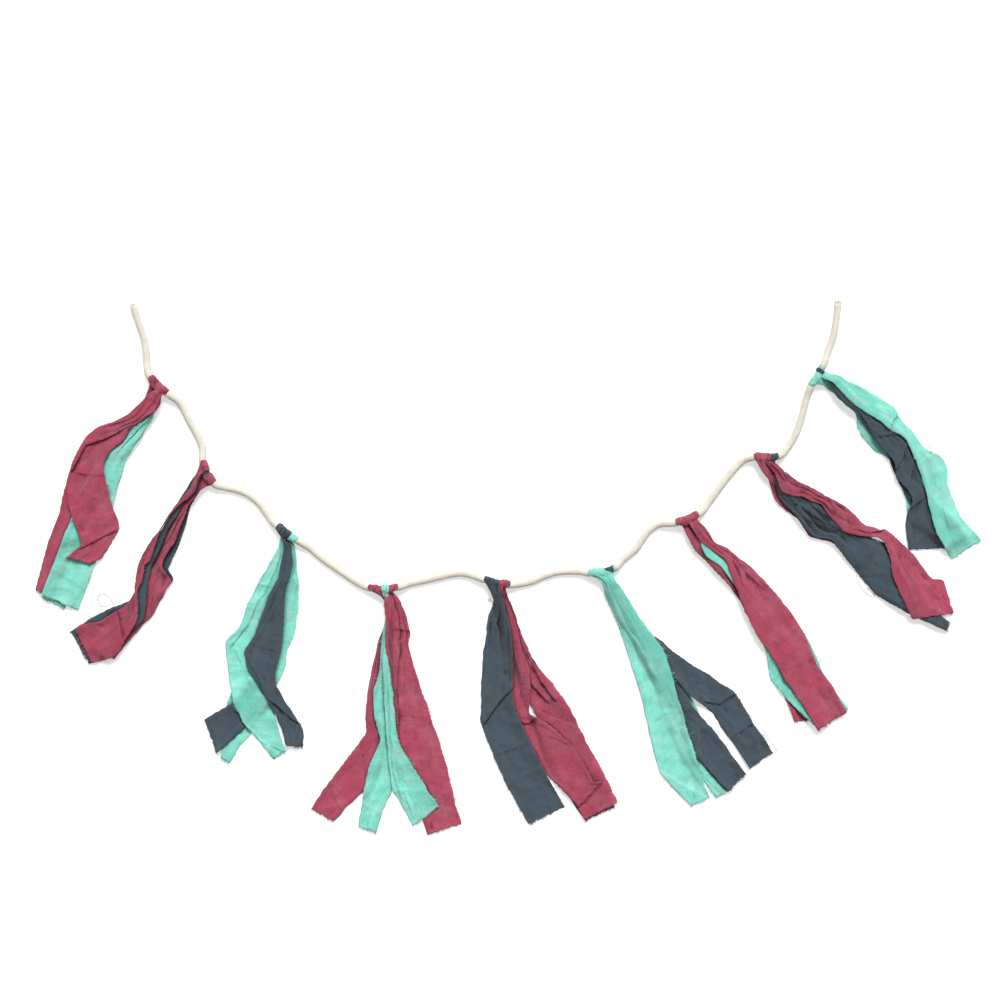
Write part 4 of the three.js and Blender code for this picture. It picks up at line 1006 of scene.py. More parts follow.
def section(width, cloth, gathered, style, rise, sway):
    """A row of cloth, seen along the tail: how far across and how high each column lies, and
    whether it is the upper one of two layers, or the lower one.

    width is what the row spans, cloth the strip's own width. What the cloth has to spare goes
    into pleats where the row is gathered, and elsewhere under its edges. sway moves the pleats.
    """
    width, gathered, sway = width[:, None], gathered[:, None], sway[:, None]
    spare = np.maximum(cloth - width, 0)
    left_share, right_share = style["tucks"]
    tuck_left, tuck_right = (
        share / (left_share + right_share) * spare * (1 - gathered)
        for share in (left_share, right_share))
    q = np.linspace(0, 1, COLUMNS)[None] * cloth
    middle = cloth - tuck_left - tuck_right
    p = np.clip((q - tuck_left) / middle, 0, 1)
    turn = 2 * math.pi * style["pleats"] * (
        p + PLEAT_UNEVENNESS * np.sin(2 * math.pi * p + 2 * sway)) + sway
    fade = np.sqrt(np.clip(4 * p * (1 - p), 0, 1))
    lap = np.minimum(np.sqrt(np.maximum((middle / width) ** 2 - 1, 0)) * math.pi / 2,
                     PLEAT_LAP_SHARE)
    swing = lap / (2 * math.pi * style["pleats"]) * np.sin(turn) * fade
    across = width * np.clip(p + swing, -PLEAT_OVERHANG, 1 + PLEAT_OVERHANG)
    pleat_rise = rise * np.maximum(smooth(gathered, 0, FULL_GATHER),
                                   LAP_RISE_SHARE * smooth(lap, *LAP_SLOPE))
    high = pleat_rise * (0.5 + 0.5 * np.sin(turn)) * fade
    back = TUCK_DEPTH_SHARE * width
    under_left, under_right = tuck_left - q, q - cloth + tuck_right
    for tuck, from_edge in ((tuck_left, across), (tuck_right, width - across)):
        size = np.minimum(tuck / TUCK_FULL, 1) * (TUCK_RISE + TUCK_LAYER * tuck / back)
        reach = np.minimum(tuck, back)
        high = high + size * (1 - smooth(from_edge, reach, reach + TUCK_SLOPE))
    upper = (across < tuck_left) | (width - across < tuck_right)
    lower = (under_left > 0) | (under_right > 0)
    for under, tuck in ((under_left, tuck_left), (under_right, tuck_right)):
        high = np.where(under > 0, TUCK_LAYER * (tuck - under) / back, high)
    across = np.where(under_left > 0, zigzag(under_left, back), across)
    across = np.where(under_right > 0, width - zigzag(under_right, back), across)
    return across, high, upper, lower


def tail_edges(rows, sizes):
    """The tail's left and right edge in its own frame, evenly spaced from its neck to its end"""
    left, right = [], []
    for row in rows:
        left_along, left_across, right_along, right_across = (
            row if len(row) == 4 else (row[0], row[1], row[0], row[2]))
        left.append((left_along * sizes.tail_length, left_across * sizes.strip_width))
        right.append((right_along * sizes.tail_length, right_across * sizes.strip_width))
    left, right = np.array(left), np.array(right)
    last_way = left[-1] + right[-1] - left[-2] - right[-2]
    for edge in (left, right):
        edge[-1] += END_OVERHANG * last_way / np.linalg.norm(last_way)
    middle = (left + right) / 2
    run = distances(middle)
    count = max(int(run[-1] / ROW_STEP), LEAST_ROWS) + 1
    even = np.linspace(0, run[-1], count)
    left, right = (ease(points_at(even, run, edge), EDGE_EASING) for edge in (left, right))
    return left, right, even


FOLD_SLOPE = 0.7 * MM
FOLD_END_REACH = 4 * MM
FOLD_LAP_REACH = 2.5 * MM
FOLD_LAP_SLOPE = 0.5 * MM


def fold_over(spots, high, fold, sizes):
    """Folds the cloth along a line: one side stands higher, and laps over the other"""
    points, step, lap, reach = fold
    line = np.array(points) * [sizes.tail_length, sizes.strip_width]
    best = np.full(high.shape, 1e9)
    signed = np.zeros(high.shape)
    shift = np.zeros(spots.shape)
    ends = np.ones(high.shape)
    for number, (a, b) in enumerate(zip(line, line[1:])):
        size = np.linalg.norm(b - a)
        along = (b - a) / size
        normal = np.array([-along[1], along[0]])
        away = spots - a
        share = away @ along / size
        nearest = a + np.clip(share, 0, 1)[..., None] * (b - a)
        far = np.linalg.norm(spots - nearest, axis=-1)
        over = np.zeros(high.shape)
        if number == 0:
            over = np.maximum(-share, 0) * size
        if number == len(line) - 2:
            over = np.maximum(over, np.maximum(share - 1, 0) * size)
        nearer = far < best
        best = np.where(nearer, far, best)
        signed = np.where(nearer, away @ normal, signed)
        shift = np.where(nearer[..., None], normal, shift)
        ends = np.where(nearer, np.exp(-(over / FOLD_END_REACH) ** 2), ends)
    side = signed * math.copysign(1, step)
    rise = abs(step) * MM * smooth(side, -FOLD_SLOPE, FOLD_SLOPE) * np.exp(
        -np.maximum(side, 0) / (reach * MM))
    pull = (lap * MM * np.exp(-np.abs(side) / FOLD_LAP_REACH) * np.tanh(side / FOLD_LAP_SLOPE)
            * ends)
    moved = spots - shift * (pull * math.copysign(1, step))[..., None]
    return moved, high + rise * ends


CRUMPLE_SPACING = 20 * MM
CRUMPLE_RISE = (0.4 * MM, 1.2 * MM)
CRUMPLE_WIDTH = (2 * MM, 7 * MM)
CRUMPLE_REACH = (6 * MM, 26 * MM)
CRUMPLE_TURN = 0.6
CRUMPLE_BEND = 0.06


def crumples(rng, along, sideways):
    """Sharp creases across the tail, that its packing left"""
    high = np.zeros(along.shape)
    for near in np.arange(along.min(), along.max(), CRUMPLE_SPACING):
        middle = (near + rng.uniform(0, CRUMPLE_SPACING),
                  rng.uniform(sideways.min(), sideways.max()))
        turn = math.pi / 2 + rng.normal(0, CRUMPLE_TURN)
        across, forth = along - middle[0], sideways - middle[1]
        run = across * math.cos(turn) + forth * math.sin(turn)
        off = forth * math.cos(turn) - across * math.sin(turn)
        rise, width, reach = (rng.uniform(*pair) for pair in (
            CRUMPLE_RISE, CRUMPLE_WIDTH, CRUMPLE_REACH))
        bend = off + CRUMPLE_BEND * run ** 2 / reach
        high += rise * np.exp(-np.abs(bend) / width - (run / reach) ** 2)
    return high


def build_tail(tassel, rows, style, colour_name, sizes, rng, ground):
    """One tail as rows of points, from its neck to its end, and the painted shade of each point"""
    left, right, run = tail_edges(rows, sizes)
    span = right - left
    width = np.linalg.norm(span, axis=1)
    across_way = span / width[:, None]
    total = run[-1]
    opened = smooth(run, PLEAT_START * total, style["gather"] * total)
    gathered = 1 - opened * (1 - PLEAT_REMNANT)
    sway = ripples(rng, run, 0 * run, *SWAY_WAVES)
    across, high, upper, lower = section(
        width, sizes.strip_width, gathered, style, PLEAT_RISE * PLEAT_SHARE[colour_name], sway)
    share = across / width[:, None]
    wander = [(1 - min(tuck * TUCKED_CALM, 1)) * (
        EDGE_WANDER * ripples(rng, run, 0 * run, *WANDER_WAVES)
        + EDGE_NIBBLE * ripples(rng, run, 0 * run, *NIBBLE_WAVES)) for tuck in style["tucks"]]
    across = across + wander[0][:, None] * (1 - share) - wander[1][:, None] * share
    spots = left[:, None] + across[..., None] * across_way[:, None]
    end = total - run
    end_wander = ripples(rng, across[-1], 0 * across[-1], *END_WAVES)
    forward = np.gradient((left + right) / 2, axis=0)
    forward /= np.linalg.norm(forward, axis=1, keepdims=True)
    spots += (forward[:, None] * end_wander[None, :, None]
              * (EDGE_WANDER * np.exp(-end / END_WANDER_REACH))[:, None, None])
    for fold in style["folds"]:
        spots, high = fold_over(spots, high, fold, sizes)
    along, sideways = spots[..., 0], spots[..., 1]
    calm = NECK_CALM + (1 - NECK_CALM) * smooth(run, *CALM_SLOPE * total)[:, None]
    high = high + RIPPLE_RISE * calm * (
        0.5 + 0.5 * ripples(rng, along, sideways * RIPPLE_STRETCH, *RIPPLE_WAVES)
        + SMALL_RIPPLE_SHARE * ripples(rng, along, sideways, *SMALL_RIPPLE_WAVES))
    high = high + crumples(rng, along, sideways) * calm
    from_edge = np.minimum(np.minimum(share, 1 - share) * width[:, None], end[:, None])
    flutter = 0.5 + 0.5 * ripples(rng, along, sideways, *FLUTTER_WAVES)
    high = high + EDGE_LIFT * np.clip(flutter, 0, EDGE_LIFT_LIMIT) * np.exp(
        -np.maximum(from_edge, 0) / EDGE_LIFT_REACH)
    high = np.maximum(high, 0)
    # Painted shade: points that lie low between their neighbours are darkened
    hollow = np.maximum(
        hollows(high, HOLLOW_REACH, HOLLOW_FLOOR, HOLLOW_DEPTH),
        hollows(high, WIDE_HOLLOW * HOLLOW_REACH, WIDE_HOLLOW * HOLLOW_FLOOR,
                WIDE_HOLLOW * HOLLOW_DEPTH) * WIDE_HOLLOW_SHARE) * ~lower
    neck_rise = NECK_RISE + style["lift"] * MM
    high = high + neck_rise * (1 - smooth(run, 0, NECK_REACH))[:, None]
    root = place(tassel["tail_pixel"])
    points = root + along[..., None] * way(tassel["tail_turn"]) + sideways[..., None] * way(
        tassel["tail_turn"] + 90)
    floor = ground.under(points)
    if style["hidden"]:
        slope = (style["hidden"] - HIDDEN_SLOPE) * total, style["hidden"] * total
        covered = (1 - smooth(run, *slope))[:, None]
        floor = floor + (ground.under_last(points) - floor) * covered
        high = high * (1 - HIDDEN_FLATNESS * covered)
    points[..., 2] = floor + LAY_GAP + high
    # Painted shade: darker where darker cloth lies under the sheet or is folded under its edge,
    # and in its hollows
    below = np.maximum(ground.darkness(points), DARKNESS[colour_name] * upper)
    shade = 1 - (1 - HOLLOW_SHADE[colour_name] * hollow) * (1 - PAINTED_SHOW_THROUGH[colour_name] * below)
    return points, shade


# Knots


KNOT_PLEAT_RISE = 0.65 * MM
KNOT_CRINKLE = 0.4 * MM
# How much painted shade darkens the knot's crinkle lines
KNOT_CRINKLE_SHADE = 0.9
KNOT_CRINKLE_SHARE = 0.6
KNOT_CRINKLE_STRETCH = 0.4
KNOT_CRINKLE_WAVES = (3 * MM, 8 * MM, 5)
KNOT_ROUGHNESS = 0.15 * MM
KNOT_ROUGH_WAVES = (3 * MM, 12 * MM)
KNOT_TAPERS = (0.36, 0.36)
TAPER_ANGLES = (90, 5)
FLARE_ANGLES = (130, 30)
KNOT_BULGE = 0.3 * MM
KNOT_TIGHTNESS = 0.45
KNOT_TIGHT_FROM = 0.6
KNOT_DROP = 1 * MM
INNER_GAP = 0.2 * MM
LAYER_GAP = 0.3 * MM


class Wound:
    """Places on the rope near a knot, told by the reach along it, angle round it and radius"""

    def __init__(self, route, knot, down):
        self.route, self.down = route, down
        self.run = distances(route)
        self.along = np.gradient(route, axis=0)
        self.along /= np.linalg.norm(self.along, axis=1, keepdims=True)
        self.start = self.run[np.argmin(np.linalg.norm((route - knot)[:, :2], axis=1))]

    def at(self, reach, degrees, radius):
        """The points at these reaches, angles and radii"""
        spot = self.start + reach
        middle = points_at(spot, self.run, self.route)
        along = points_at(spot, self.run, self.along)
        out = np.stack([along[..., 1], -along[..., 0], 0 * along[..., 0]], -1)
        up = np.cross(out, along)
        angle = np.radians(degrees)
        drop = KNOT_DROP * np.clip(1 - (reach / KNOT_REACH) ** 2, 0, 1)
        return (middle + drop[..., None] * self.down + (radius * np.cos(angle))[..., None] * out
                + (radius * np.sin(angle))[..., None] * up)


def knot_rows(wound, gap, strip, leave_angles, style, sizes, rng):
    """Rows over the rope, under it, across in a bar below the tails, and back over the rope, and
    the painted shade of each point, in its hollows and along its crinkles. gap is how far over
    the rope the strip lies.
    """
    radius = sizes.rope_diameter / 2 + gap
    (left_far, left_near), (right_near, right_far) = (
        (a * KNOT_REACH, b * KNOT_REACH) for a, b in strip["leg_shares"])
    climb = np.linspace(0, 1, LEG_ROWS)[:-1]
    left_angle, right_angle = (leave + (TURN_ANGLE - leave) * climb for leave in leave_angles)
    turn = np.linspace(0, math.pi, BAR_ROWS)
    near_angle = math.degrees((right_near - left_near) / 2 / radius)
    bar_far = (left_far + right_far) / 2 - (right_far - left_far) / 2 * np.cos(turn)
    bar_near = (left_near + right_near) / 2 - (right_near - left_near) / 2 * np.cos(turn)
    far = np.concatenate([0 * climb + left_far, bar_far, 0 * climb + right_far])
    flare = strip.get("flare", 0) * KNOT_REACH * smooth(
        -left_angle, -FLARE_ANGLES[0], -FLARE_ANGLES[1])
    near = np.concatenate([flare + left_near, bar_near, 0 * climb + right_near])
    far_angle = np.concatenate([
        left_angle, TURN_ANGLE + BAR_ANGLE * np.sin(turn), right_angle[::-1]])
    near_angles = np.concatenate([
        left_angle, TURN_ANGLE + near_angle * np.sin(turn), right_angle[::-1]])
    width = np.hypot(far - near, np.radians(far_angle - near_angles) * radius)
    still = np.zeros(len(far))
    across, high, _, _ = section(
        width, sizes.strip_width, still + 1, style, KNOT_PLEAT_RISE, still)
    share = np.clip(across / width[:, None], -PLEAT_OVERHANG, 1 + PLEAT_OVERHANG)
    reach = far[:, None] + (near - far)[:, None] * share
    angle = far_angle[:, None] + (near_angles - far_angle)[:, None] * share
    middle, half = (left_far + right_far) / 2, (right_far - left_far) / 2
    bulge = KNOT_BULGE * np.clip(1 - ((reach - middle) / half) ** 2, 0, 1) * (
        0.5 + 0.5 * np.sin(np.radians(angle)))
    tight = 1 - KNOT_TIGHTNESS * smooth(np.abs(reach - middle) / half, KNOT_TIGHT_FROM, 1)
    tapers = strip.get("tapers", KNOT_TAPERS)
    taper = np.where(reach < middle, *tapers) * smooth(-angle, -TAPER_ANGLES[0], -TAPER_ANGLES[1])
    reach = middle + (reach - middle) * (1 - taper)
    round_rope = np.radians(angle) * radius
    rough = KNOT_ROUGHNESS * ripples(rng, reach, round_rope, *KNOT_ROUGH_WAVES)
    # Crinkles dent the cloth a little along wavy lines; painted shade darkens those lines and the
    # pleats' hollows
    waves = ripples(rng, reach, round_rope * KNOT_CRINKLE_STRETCH, *KNOT_CRINKLE_WAVES)
    crinkle = smooth(1 - np.abs(waves) / KNOT_CRINKLE_SHARE, 0, 1)
    hollow = hollows(high, HOLLOW_REACH, 0, 0.5 * KNOT_PLEAT_RISE)
    shade = HOLLOW_SHADE[strip["colour"]] * np.maximum(hollow, KNOT_CRINKLE_SHADE * crinkle)
    core = sizes.rope_diameter / 2 * (1 - squeeze(reach))
    over = (gap + high + bulge) * tight + np.abs(rough) - KNOT_CRINKLE * crinkle
    return wound.at(reach, angle, core + np.maximum(over, INNER_GAP * tight)), shade


def join_rows(first, first_way, second, second_way, count):
    """Rows on smooth curves from one row to another, without the two rows themselves"""
    far = np.linalg.norm(second - first, axis=-1, keepdims=True)
    m1, m2 = first_way * far, second_way * far
    t = np.linspace(0, 1, count + 2)[1:-1, None, None]
    return ((2 * t ** 3 - 3 * t ** 2 + 1) * first + (t ** 3 - 2 * t ** 2 + t) * m1
            + (3 * t ** 2 - 2 * t ** 3) * second + (t ** 3 - t ** 2) * m2)


def tail_style(number, name):
    """How a tail is folded. number is its tassel's."""
    return {**PLAIN_STYLE, **TAIL_STYLES.get((number, name), {})}


def pull_in(joined, tassel, share):
    """Draws the rows between the knot and the tail together, to a waist halfway"""
    sideways = way(tassel["tail_turn"] + 90)
    off = (joined - place(tassel["tail_pixel"])) @ sideways
    waist = share * np.sin(np.linspace(0, math.pi, len(joined) + 2)[1:-1])
    return joined - (off * waist[:, None])[..., None] * sideways


TASSEL_SEED = 700
NECK_SLOPE = 0.55


def build_tassel(number, tassel, sizes, materials):
    """Both strips of a tassel, and the loose threads on them"""
    rng = np.random.default_rng(TASSEL_SEED + number)
    outer_gap = INNER_GAP + KNOT_PLEAT_RISE + LAYER_GAP
    wound = Wound(rope_route(), place(tassel["rope_pixel"]), way(tassel["tail_turn"]))
    middle = place(tassel["tail_pixel"]) + way(tassel["tail_turn"]) * sizes.tail_length / 2
    ground = Ground(middle, sizes.tail_length * GROUND_SHARE)
    knots, knot_shades = {}, {}
    for layer, gap in (("inner", INNER_GAP), ("outer", outer_gap)):
        style = tail_style(number, layer + " left")
        knots[layer], knot_shades[layer] = knot_rows(
            wound, gap, tassel[layer], LEAVE_ANGLES[number - 1], style, sizes, rng)
    tails, shades = {}, {}
    for name in tassel["order"]:
        layer, side = name.split()
        style = tail_style(number, name)
        rows = tassel[layer][side + "_shares"]
        colour_name = tassel[layer]["colour"]
        tail, shade = build_tail(tassel, rows, style, colour_name, sizes, rng, ground)
        if side == "right":
            tail, shade = tail[:, ::-1], shade[:, ::-1]
        first, second = (0, 1) if side == "left" else (-1, -2)
        ring, ring_shade = knots[layer][first], knot_shades[layer][first]
        ring_way = knots[layer][second] - ring
        ring_way /= np.linalg.norm(ring_way, axis=-1, keepdims=True) + TINY
        up = np.array([0, 0, NECK_SLOPE])
        joined = join_rows(tail[0], up - way(tassel["tail_turn"]), ring, ring_way, NECK_ROWS)
        joined = pull_in(joined, tassel, style["waist"])
        up_rope = np.linspace(0, 1, NECK_ROWS + 2)[1:-1, None]
        if style["hidden"]:
            joined[..., 2] -= HIDDEN_DIP * np.sin(math.pi * up_rope)
            floor = ground.under_last(joined)
        else:
            floor = ground.under(joined)
        joined[..., 2] = np.maximum(joined[..., 2], floor + LAY_GAP)
        whole = np.concatenate([joined[::-1], tail])
        ground.add(whole, DARKNESS[colour_name])
        tails[name] = whole
        shades[name] = np.concatenate([
            ring_shade * up_rope[::-1] + shade[0] * (1 - up_rope[::-1]), shade])
    for name, whole in tails.items():
        # Painted shadow: cloth beside cloth that stands over it is darkened
        beside = CONTACT_SHADE[tassel[name.split()[0]]["colour"]] * ground.beside(whole)
        shades[name] = 1 - (1 - shades[name]) * (1 - beside)
        near_rope = np.concatenate([up_rope[::-1], np.zeros((len(whole) - NECK_ROWS, 1))])
        whole[..., 2] += (settle(whole[..., 2]) - whole[..., 2]) * (1 - near_rope)
    threads = loose_threads(number, tassel, ground, sizes, materials["thread"])
    for layer, carried in (("inner", []), ("outer", threads)):
        sides = layer + " left", layer + " right"
        points, shade = (
            np.concatenate([parts[sides[0]][::-1], knot[layer], parts[sides[1]]])
            for parts, knot in ((tails, knots), (shades, knot_shades)))
        left_rows = len(tails[sides[0]])
        build_strip(number, tassel[layer]["colour"], points, shade, left_rows, len(knots[layer]),
                    sizes, materials, rng)


def build_strip(number, name, points, shade, left_rows, knot_count, sizes, materials, rng):
    """One strip of cloth from tail to tail, with its fringe"""
    centre = points[:, COLUMNS // 2]
    run = distances(centre)
    uv = np.stack(np.broadcast_arrays(
        np.linspace(0, sizes.strip_width, COLUMNS)[None], run[:, None]), -1)
    body = f"tassel_{number}"
    strip = mesh_object(f"{body}_{name}_cloth", points, grid_faces(len(points), COLUMNS),
                        materials[name], uv, shade)
    thick = strip.modifiers.new("cloth thickness", "SOLIDIFY")
    thick.thickness = sizes.cloth_thickness
    thick.offset = 0
    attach(strip, body)
    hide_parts(f"{body}_{name}_strip")
    fringe = build_fringe(f"{body}_{name}_fringe", points, left_rows, knot_count, sizes,
                          materials[name], rng)
    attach(fringe, body)


# Frayed edges


FRAY_STEP = 0.6 * MM
FRAY_WAVES = (14 * MM, 60 * MM)
FRAY_WAVE_RANGE = (-0.6, 1.2)
FRAY_BEND = 0.32
FRAY_FLATNESS = (1, 1, 0.35)
FRAY_SLOPE = 0.3
FRAY_HEIGHT = 0.2 * MM
FRAY_ROOT = -0.25
FRAY_RINGS = 4
FRAY_SIDES = 3
FRAY_THICKNESS = (0.6, 1.1)
FRAY_TIP_SHARE = 0.45
LONG_FRAY_SHARE = 0.02
LONG_FRAY_LENGTH = 3.5 * MM

# How the torn long edges and the cut ends fray: how close their threads are, how long, how much
# that varies from place to place, and from thread to thread
EDGE_FRAY = (1, 1.15 * MM, (0.35, 1.1), (0.5, 1.6))
END_FRAY = (1.4, 1.6 * MM, (0.4, 0.9), (0.4, 1.7))


def fray(line, inner, kind, rng):
    """Where threads stick out of an edge of the cloth, which way and how far. inner is the line
    of points beside the edge.
    """
    density, length, (least, more), uneven = kind
    run = distances(line)
    at = np.sort(rng.random(int(run[-1] / FRAY_STEP * density)) * run[-1])
    patch = least + more * smooth(ripples(rng, at, 0 * at, *FRAY_WAVES), *FRAY_WAVE_RANGE)
    lengths = length * patch * rng.uniform(*uneven, len(at))
    return points_at(at, run, line), points_at(at, run, line - inner), lengths


def build_fringe(name, points, left_rows, knot_count, sizes, material, rng):
    """Short threads that stick out of the torn long edges and of the cut ends"""
    tails = slice(left_rows - NECK_ROWS), slice(left_rows + knot_count + NECK_ROWS, None)
    edges = [(points[rows, edge], points[rows, beside], EDGE_FRAY)
             for rows in tails for edge, beside in ((0, 1), (-1, -2))]
    edges += [(points[row], points[beside], END_FRAY) for row, beside in ((0, 1), (-1, -2))]
    feet, ways, lengths = (np.concatenate(parts) for parts in zip(
        *(fray(line, inner, kind, rng) for line, inner, kind in edges)))
    ways[:, 2] *= FRAY_SLOPE
    ways /= np.linalg.norm(ways, axis=1, keepdims=True) + TINY
    count = len(feet)
    lengths += LONG_FRAY_LENGTH * rng.random(count) * (rng.random(count) < LONG_FRAY_SHARE)
    bend, curl = (rng.normal(0, FRAY_BEND, (count, 3)) * FRAY_FLATNESS for _ in range(2))
    t = np.linspace(FRAY_ROOT, 1, FRAY_RINGS)[None, :, None]
    lines = feet[:, None] + lengths[:, None, None] * (
        (ways + bend)[:, None] * t + curl[:, None] * t ** 2)
    lines[..., 2] = np.maximum(lines[..., 2], FRAY_HEIGHT)
    radii = sizes.thread_diameter / 2 * rng.uniform(*FRAY_THICKNESS, (count, 1)) * np.linspace(
        1, FRAY_TIP_SHARE, FRAY_RINGS)
    corners, faces = tube(lines, radii, FRAY_SIDES)
    return mesh_object(name, corners, faces, material, np.zeros((len(corners), 2)))


# Loose threads of undyed cotton that cling to the tails: the tassel, and the points of each
# thread in shares of the longest tail and of a strip's width
LOOSE_THREADS = [
    (2, [(0.623, -0.47), (0.606, -0.63), (0.596, -0.77), (0.597, -0.9), (0.613, -0.98),
         (0.632, -0.96), (0.644, -0.85), (0.646, -0.73), (0.633, -0.64), (0.618, -0.58)]),
    (5, [(0.066, -0.2), (0.062, -0.25), (0.054, -0.29), (0.05, -0.32), (0.056, -0.335),
         (0.065, -0.31), (0.061, -0.27), (0.053, -0.27), (0.049, -0.25)]),
    (6, [(0.82, 1.78), (0.85, 1.83), (0.88, 1.82), (0.905, 1.88), (0.93, 1.9)]),
    (6, [(0.84, 1.7), (0.865, 1.76), (0.89, 1.74), (0.91, 1.8)]),
    (7, [(0.72, 0.9), (0.735, 0.94), (0.75, 0.92), (0.745, 0.86)]),
    (8, [(0.58, -0.5), (0.61, -0.58), (0.64, -0.65), (0.68, -0.64), (0.7, -0.58), (0.685, -0.52),
         (0.65, -0.54)]),
    (9, [(0.46, 1.16), (0.48, 1.22), (0.5, 1.2), (0.495, 1.12)]),
]
THREAD_RINGS = 60
THREAD_SIDES = 6
THREAD_EASING = 4
THREAD_LIFT = 0.5 * MM


def curve_through(points, count):
    """A smooth curve along some points, as count points"""
    for _ in range(THREAD_EASING):
        middle = (points[:-1] + points[1:]) / 2
        both = np.empty((2 * len(points) - 1, points.shape[1]))
        both[::2], both[1::2] = points, middle
        points = ease(both, 1)
    run = distances(points)
    even = np.linspace(0, run[-1], count)
    return points_at(even, run, points)


def loose_threads(number, tassel, ground, sizes, material):
    """The loose threads that lie on one tassel, as one piece, or nothing"""
    lines = []
    for owner, shares in LOOSE_THREADS:
        if owner != number:
            continue
        spots = np.array(shares) * [sizes.tail_length, sizes.strip_width]
        spots = curve_through(spots, THREAD_RINGS)
        line = (place(tassel["tail_pixel"]) + spots[:, :1] * way(tassel["tail_turn"])
                + spots[:, 1:] * way(tassel["tail_turn"] + 90))
        line[:, 2] = settle(ground.under(line)) + THREAD_LIFT
        lines.append(line)
    if not lines:
        return []
    radii = np.full((len(lines), THREAD_RINGS), sizes.thread_diameter)
    corners, faces = tube(np.array(lines), radii, THREAD_SIDES)
    threads = mesh_object(f"tassel_{number}_loose_threads", corners, faces, material)
    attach(threads, f"tassel_{number}")
    return [threads]


# Materials

# Where most values of a noise texture lie
NOISE_RANGE = (0.3, 0.7)


class Nodes:
    """Adds nodes to a tree and joins them"""

    def __init__(self, tree):
        self.tree = tree
        tree.nodes.clear()

    def add(self, kind, inputs=None, **settings):
        node = self.tree.nodes.new(kind)
        for name, value in settings.items():
            setattr(node, name, value)
        for key, value in (inputs or {}).items():
            if isinstance(value, bpy.types.NodeSocket):
                self.tree.links.new(value, node.inputs[key])
            else:
                node.inputs[key].default_value = value
        return node

    def math(self, operation, *values):
        node = self.add("ShaderNodeMath", dict(enumerate(values)), operation=operation)
        return node.outputs[0]

    def noise(self, vector, scale, detail=2.0, roughness=0.5):
        node = self.add("ShaderNodeTexNoise", {
            "Vector": vector, "Scale": scale, "Detail": detail, "Roughness": roughness})
        return node.outputs["Fac"]

    def stretch(self, vector, u, v):
        """Coordinates multiplied by u across and v along"""
        node = self.add("ShaderNodeVectorMath", {0: vector, 1: (u, v, 1)}, operation="MULTIPLY")
        return node.outputs[0]

    def fit(self, value, low, high, new_low, new_high):
        node = self.add("ShaderNodeMapRange", {
            0: value, 1: low, 2: high, 3: new_low, 4: new_high}, interpolation_type="SMOOTHSTEP")
        return node.outputs[0]

    def mix(self, share, first, second, blend="MIX"):
        node = self.add("ShaderNodeMix", {0: share, 6: first, 7: second}, data_type="RGBA",
                        blend_type=blend)
        return node.outputs[2]


def opaque(values):
    return (*values, 1)


def new_group(name, inputs, outputs):
    """A node group with named sockets, its nodes, and its input and output nodes"""
    group = bpy.data.node_groups.new(name, "ShaderNodeTree")
    nodes = Nodes(group)
    kinds = {"colour": "NodeSocketColor", "value": "NodeSocketFloat", "vector": "NodeSocketVector"}
    for socket_name, kind in inputs.items():
        group.interface.new_socket(socket_name, in_out="INPUT", socket_type=kinds[kind])
    for socket_name, kind in outputs.items():
        group.interface.new_socket(socket_name, in_out="OUTPUT", socket_type=kinds[kind])
    return group, nodes, nodes.add("NodeGroupInput"), nodes.add("NodeGroupOutput")


WEAVE_PITCH = 0.5 * MM
WEAVE_HEIGHT = 0.05 * MM
YARN_SCALE = (1400, 22)
YARN_HEIGHT = 0.02 * MM
CREASE_HEIGHT = 0.06 * MM
RUMPLE_HEIGHT = 0.9 * MM
WOVEN_ROUGHNESS = (0.86, 0.96)

# How fine the noise is that makes the cloth's grain, its clouds, its worn patches, its creases and
# its rumples, and which of its values are worn
GRAIN_SCALE = 620
CLOUD_SCALE = 90
WORN_SCALE = 38
WORN_RANGE = (0.42, 0.68)
CREASE_SCALE = (14, 75)
CREASE_SHARE = 0.05
RUMPLE_SCALE = (60, 30)


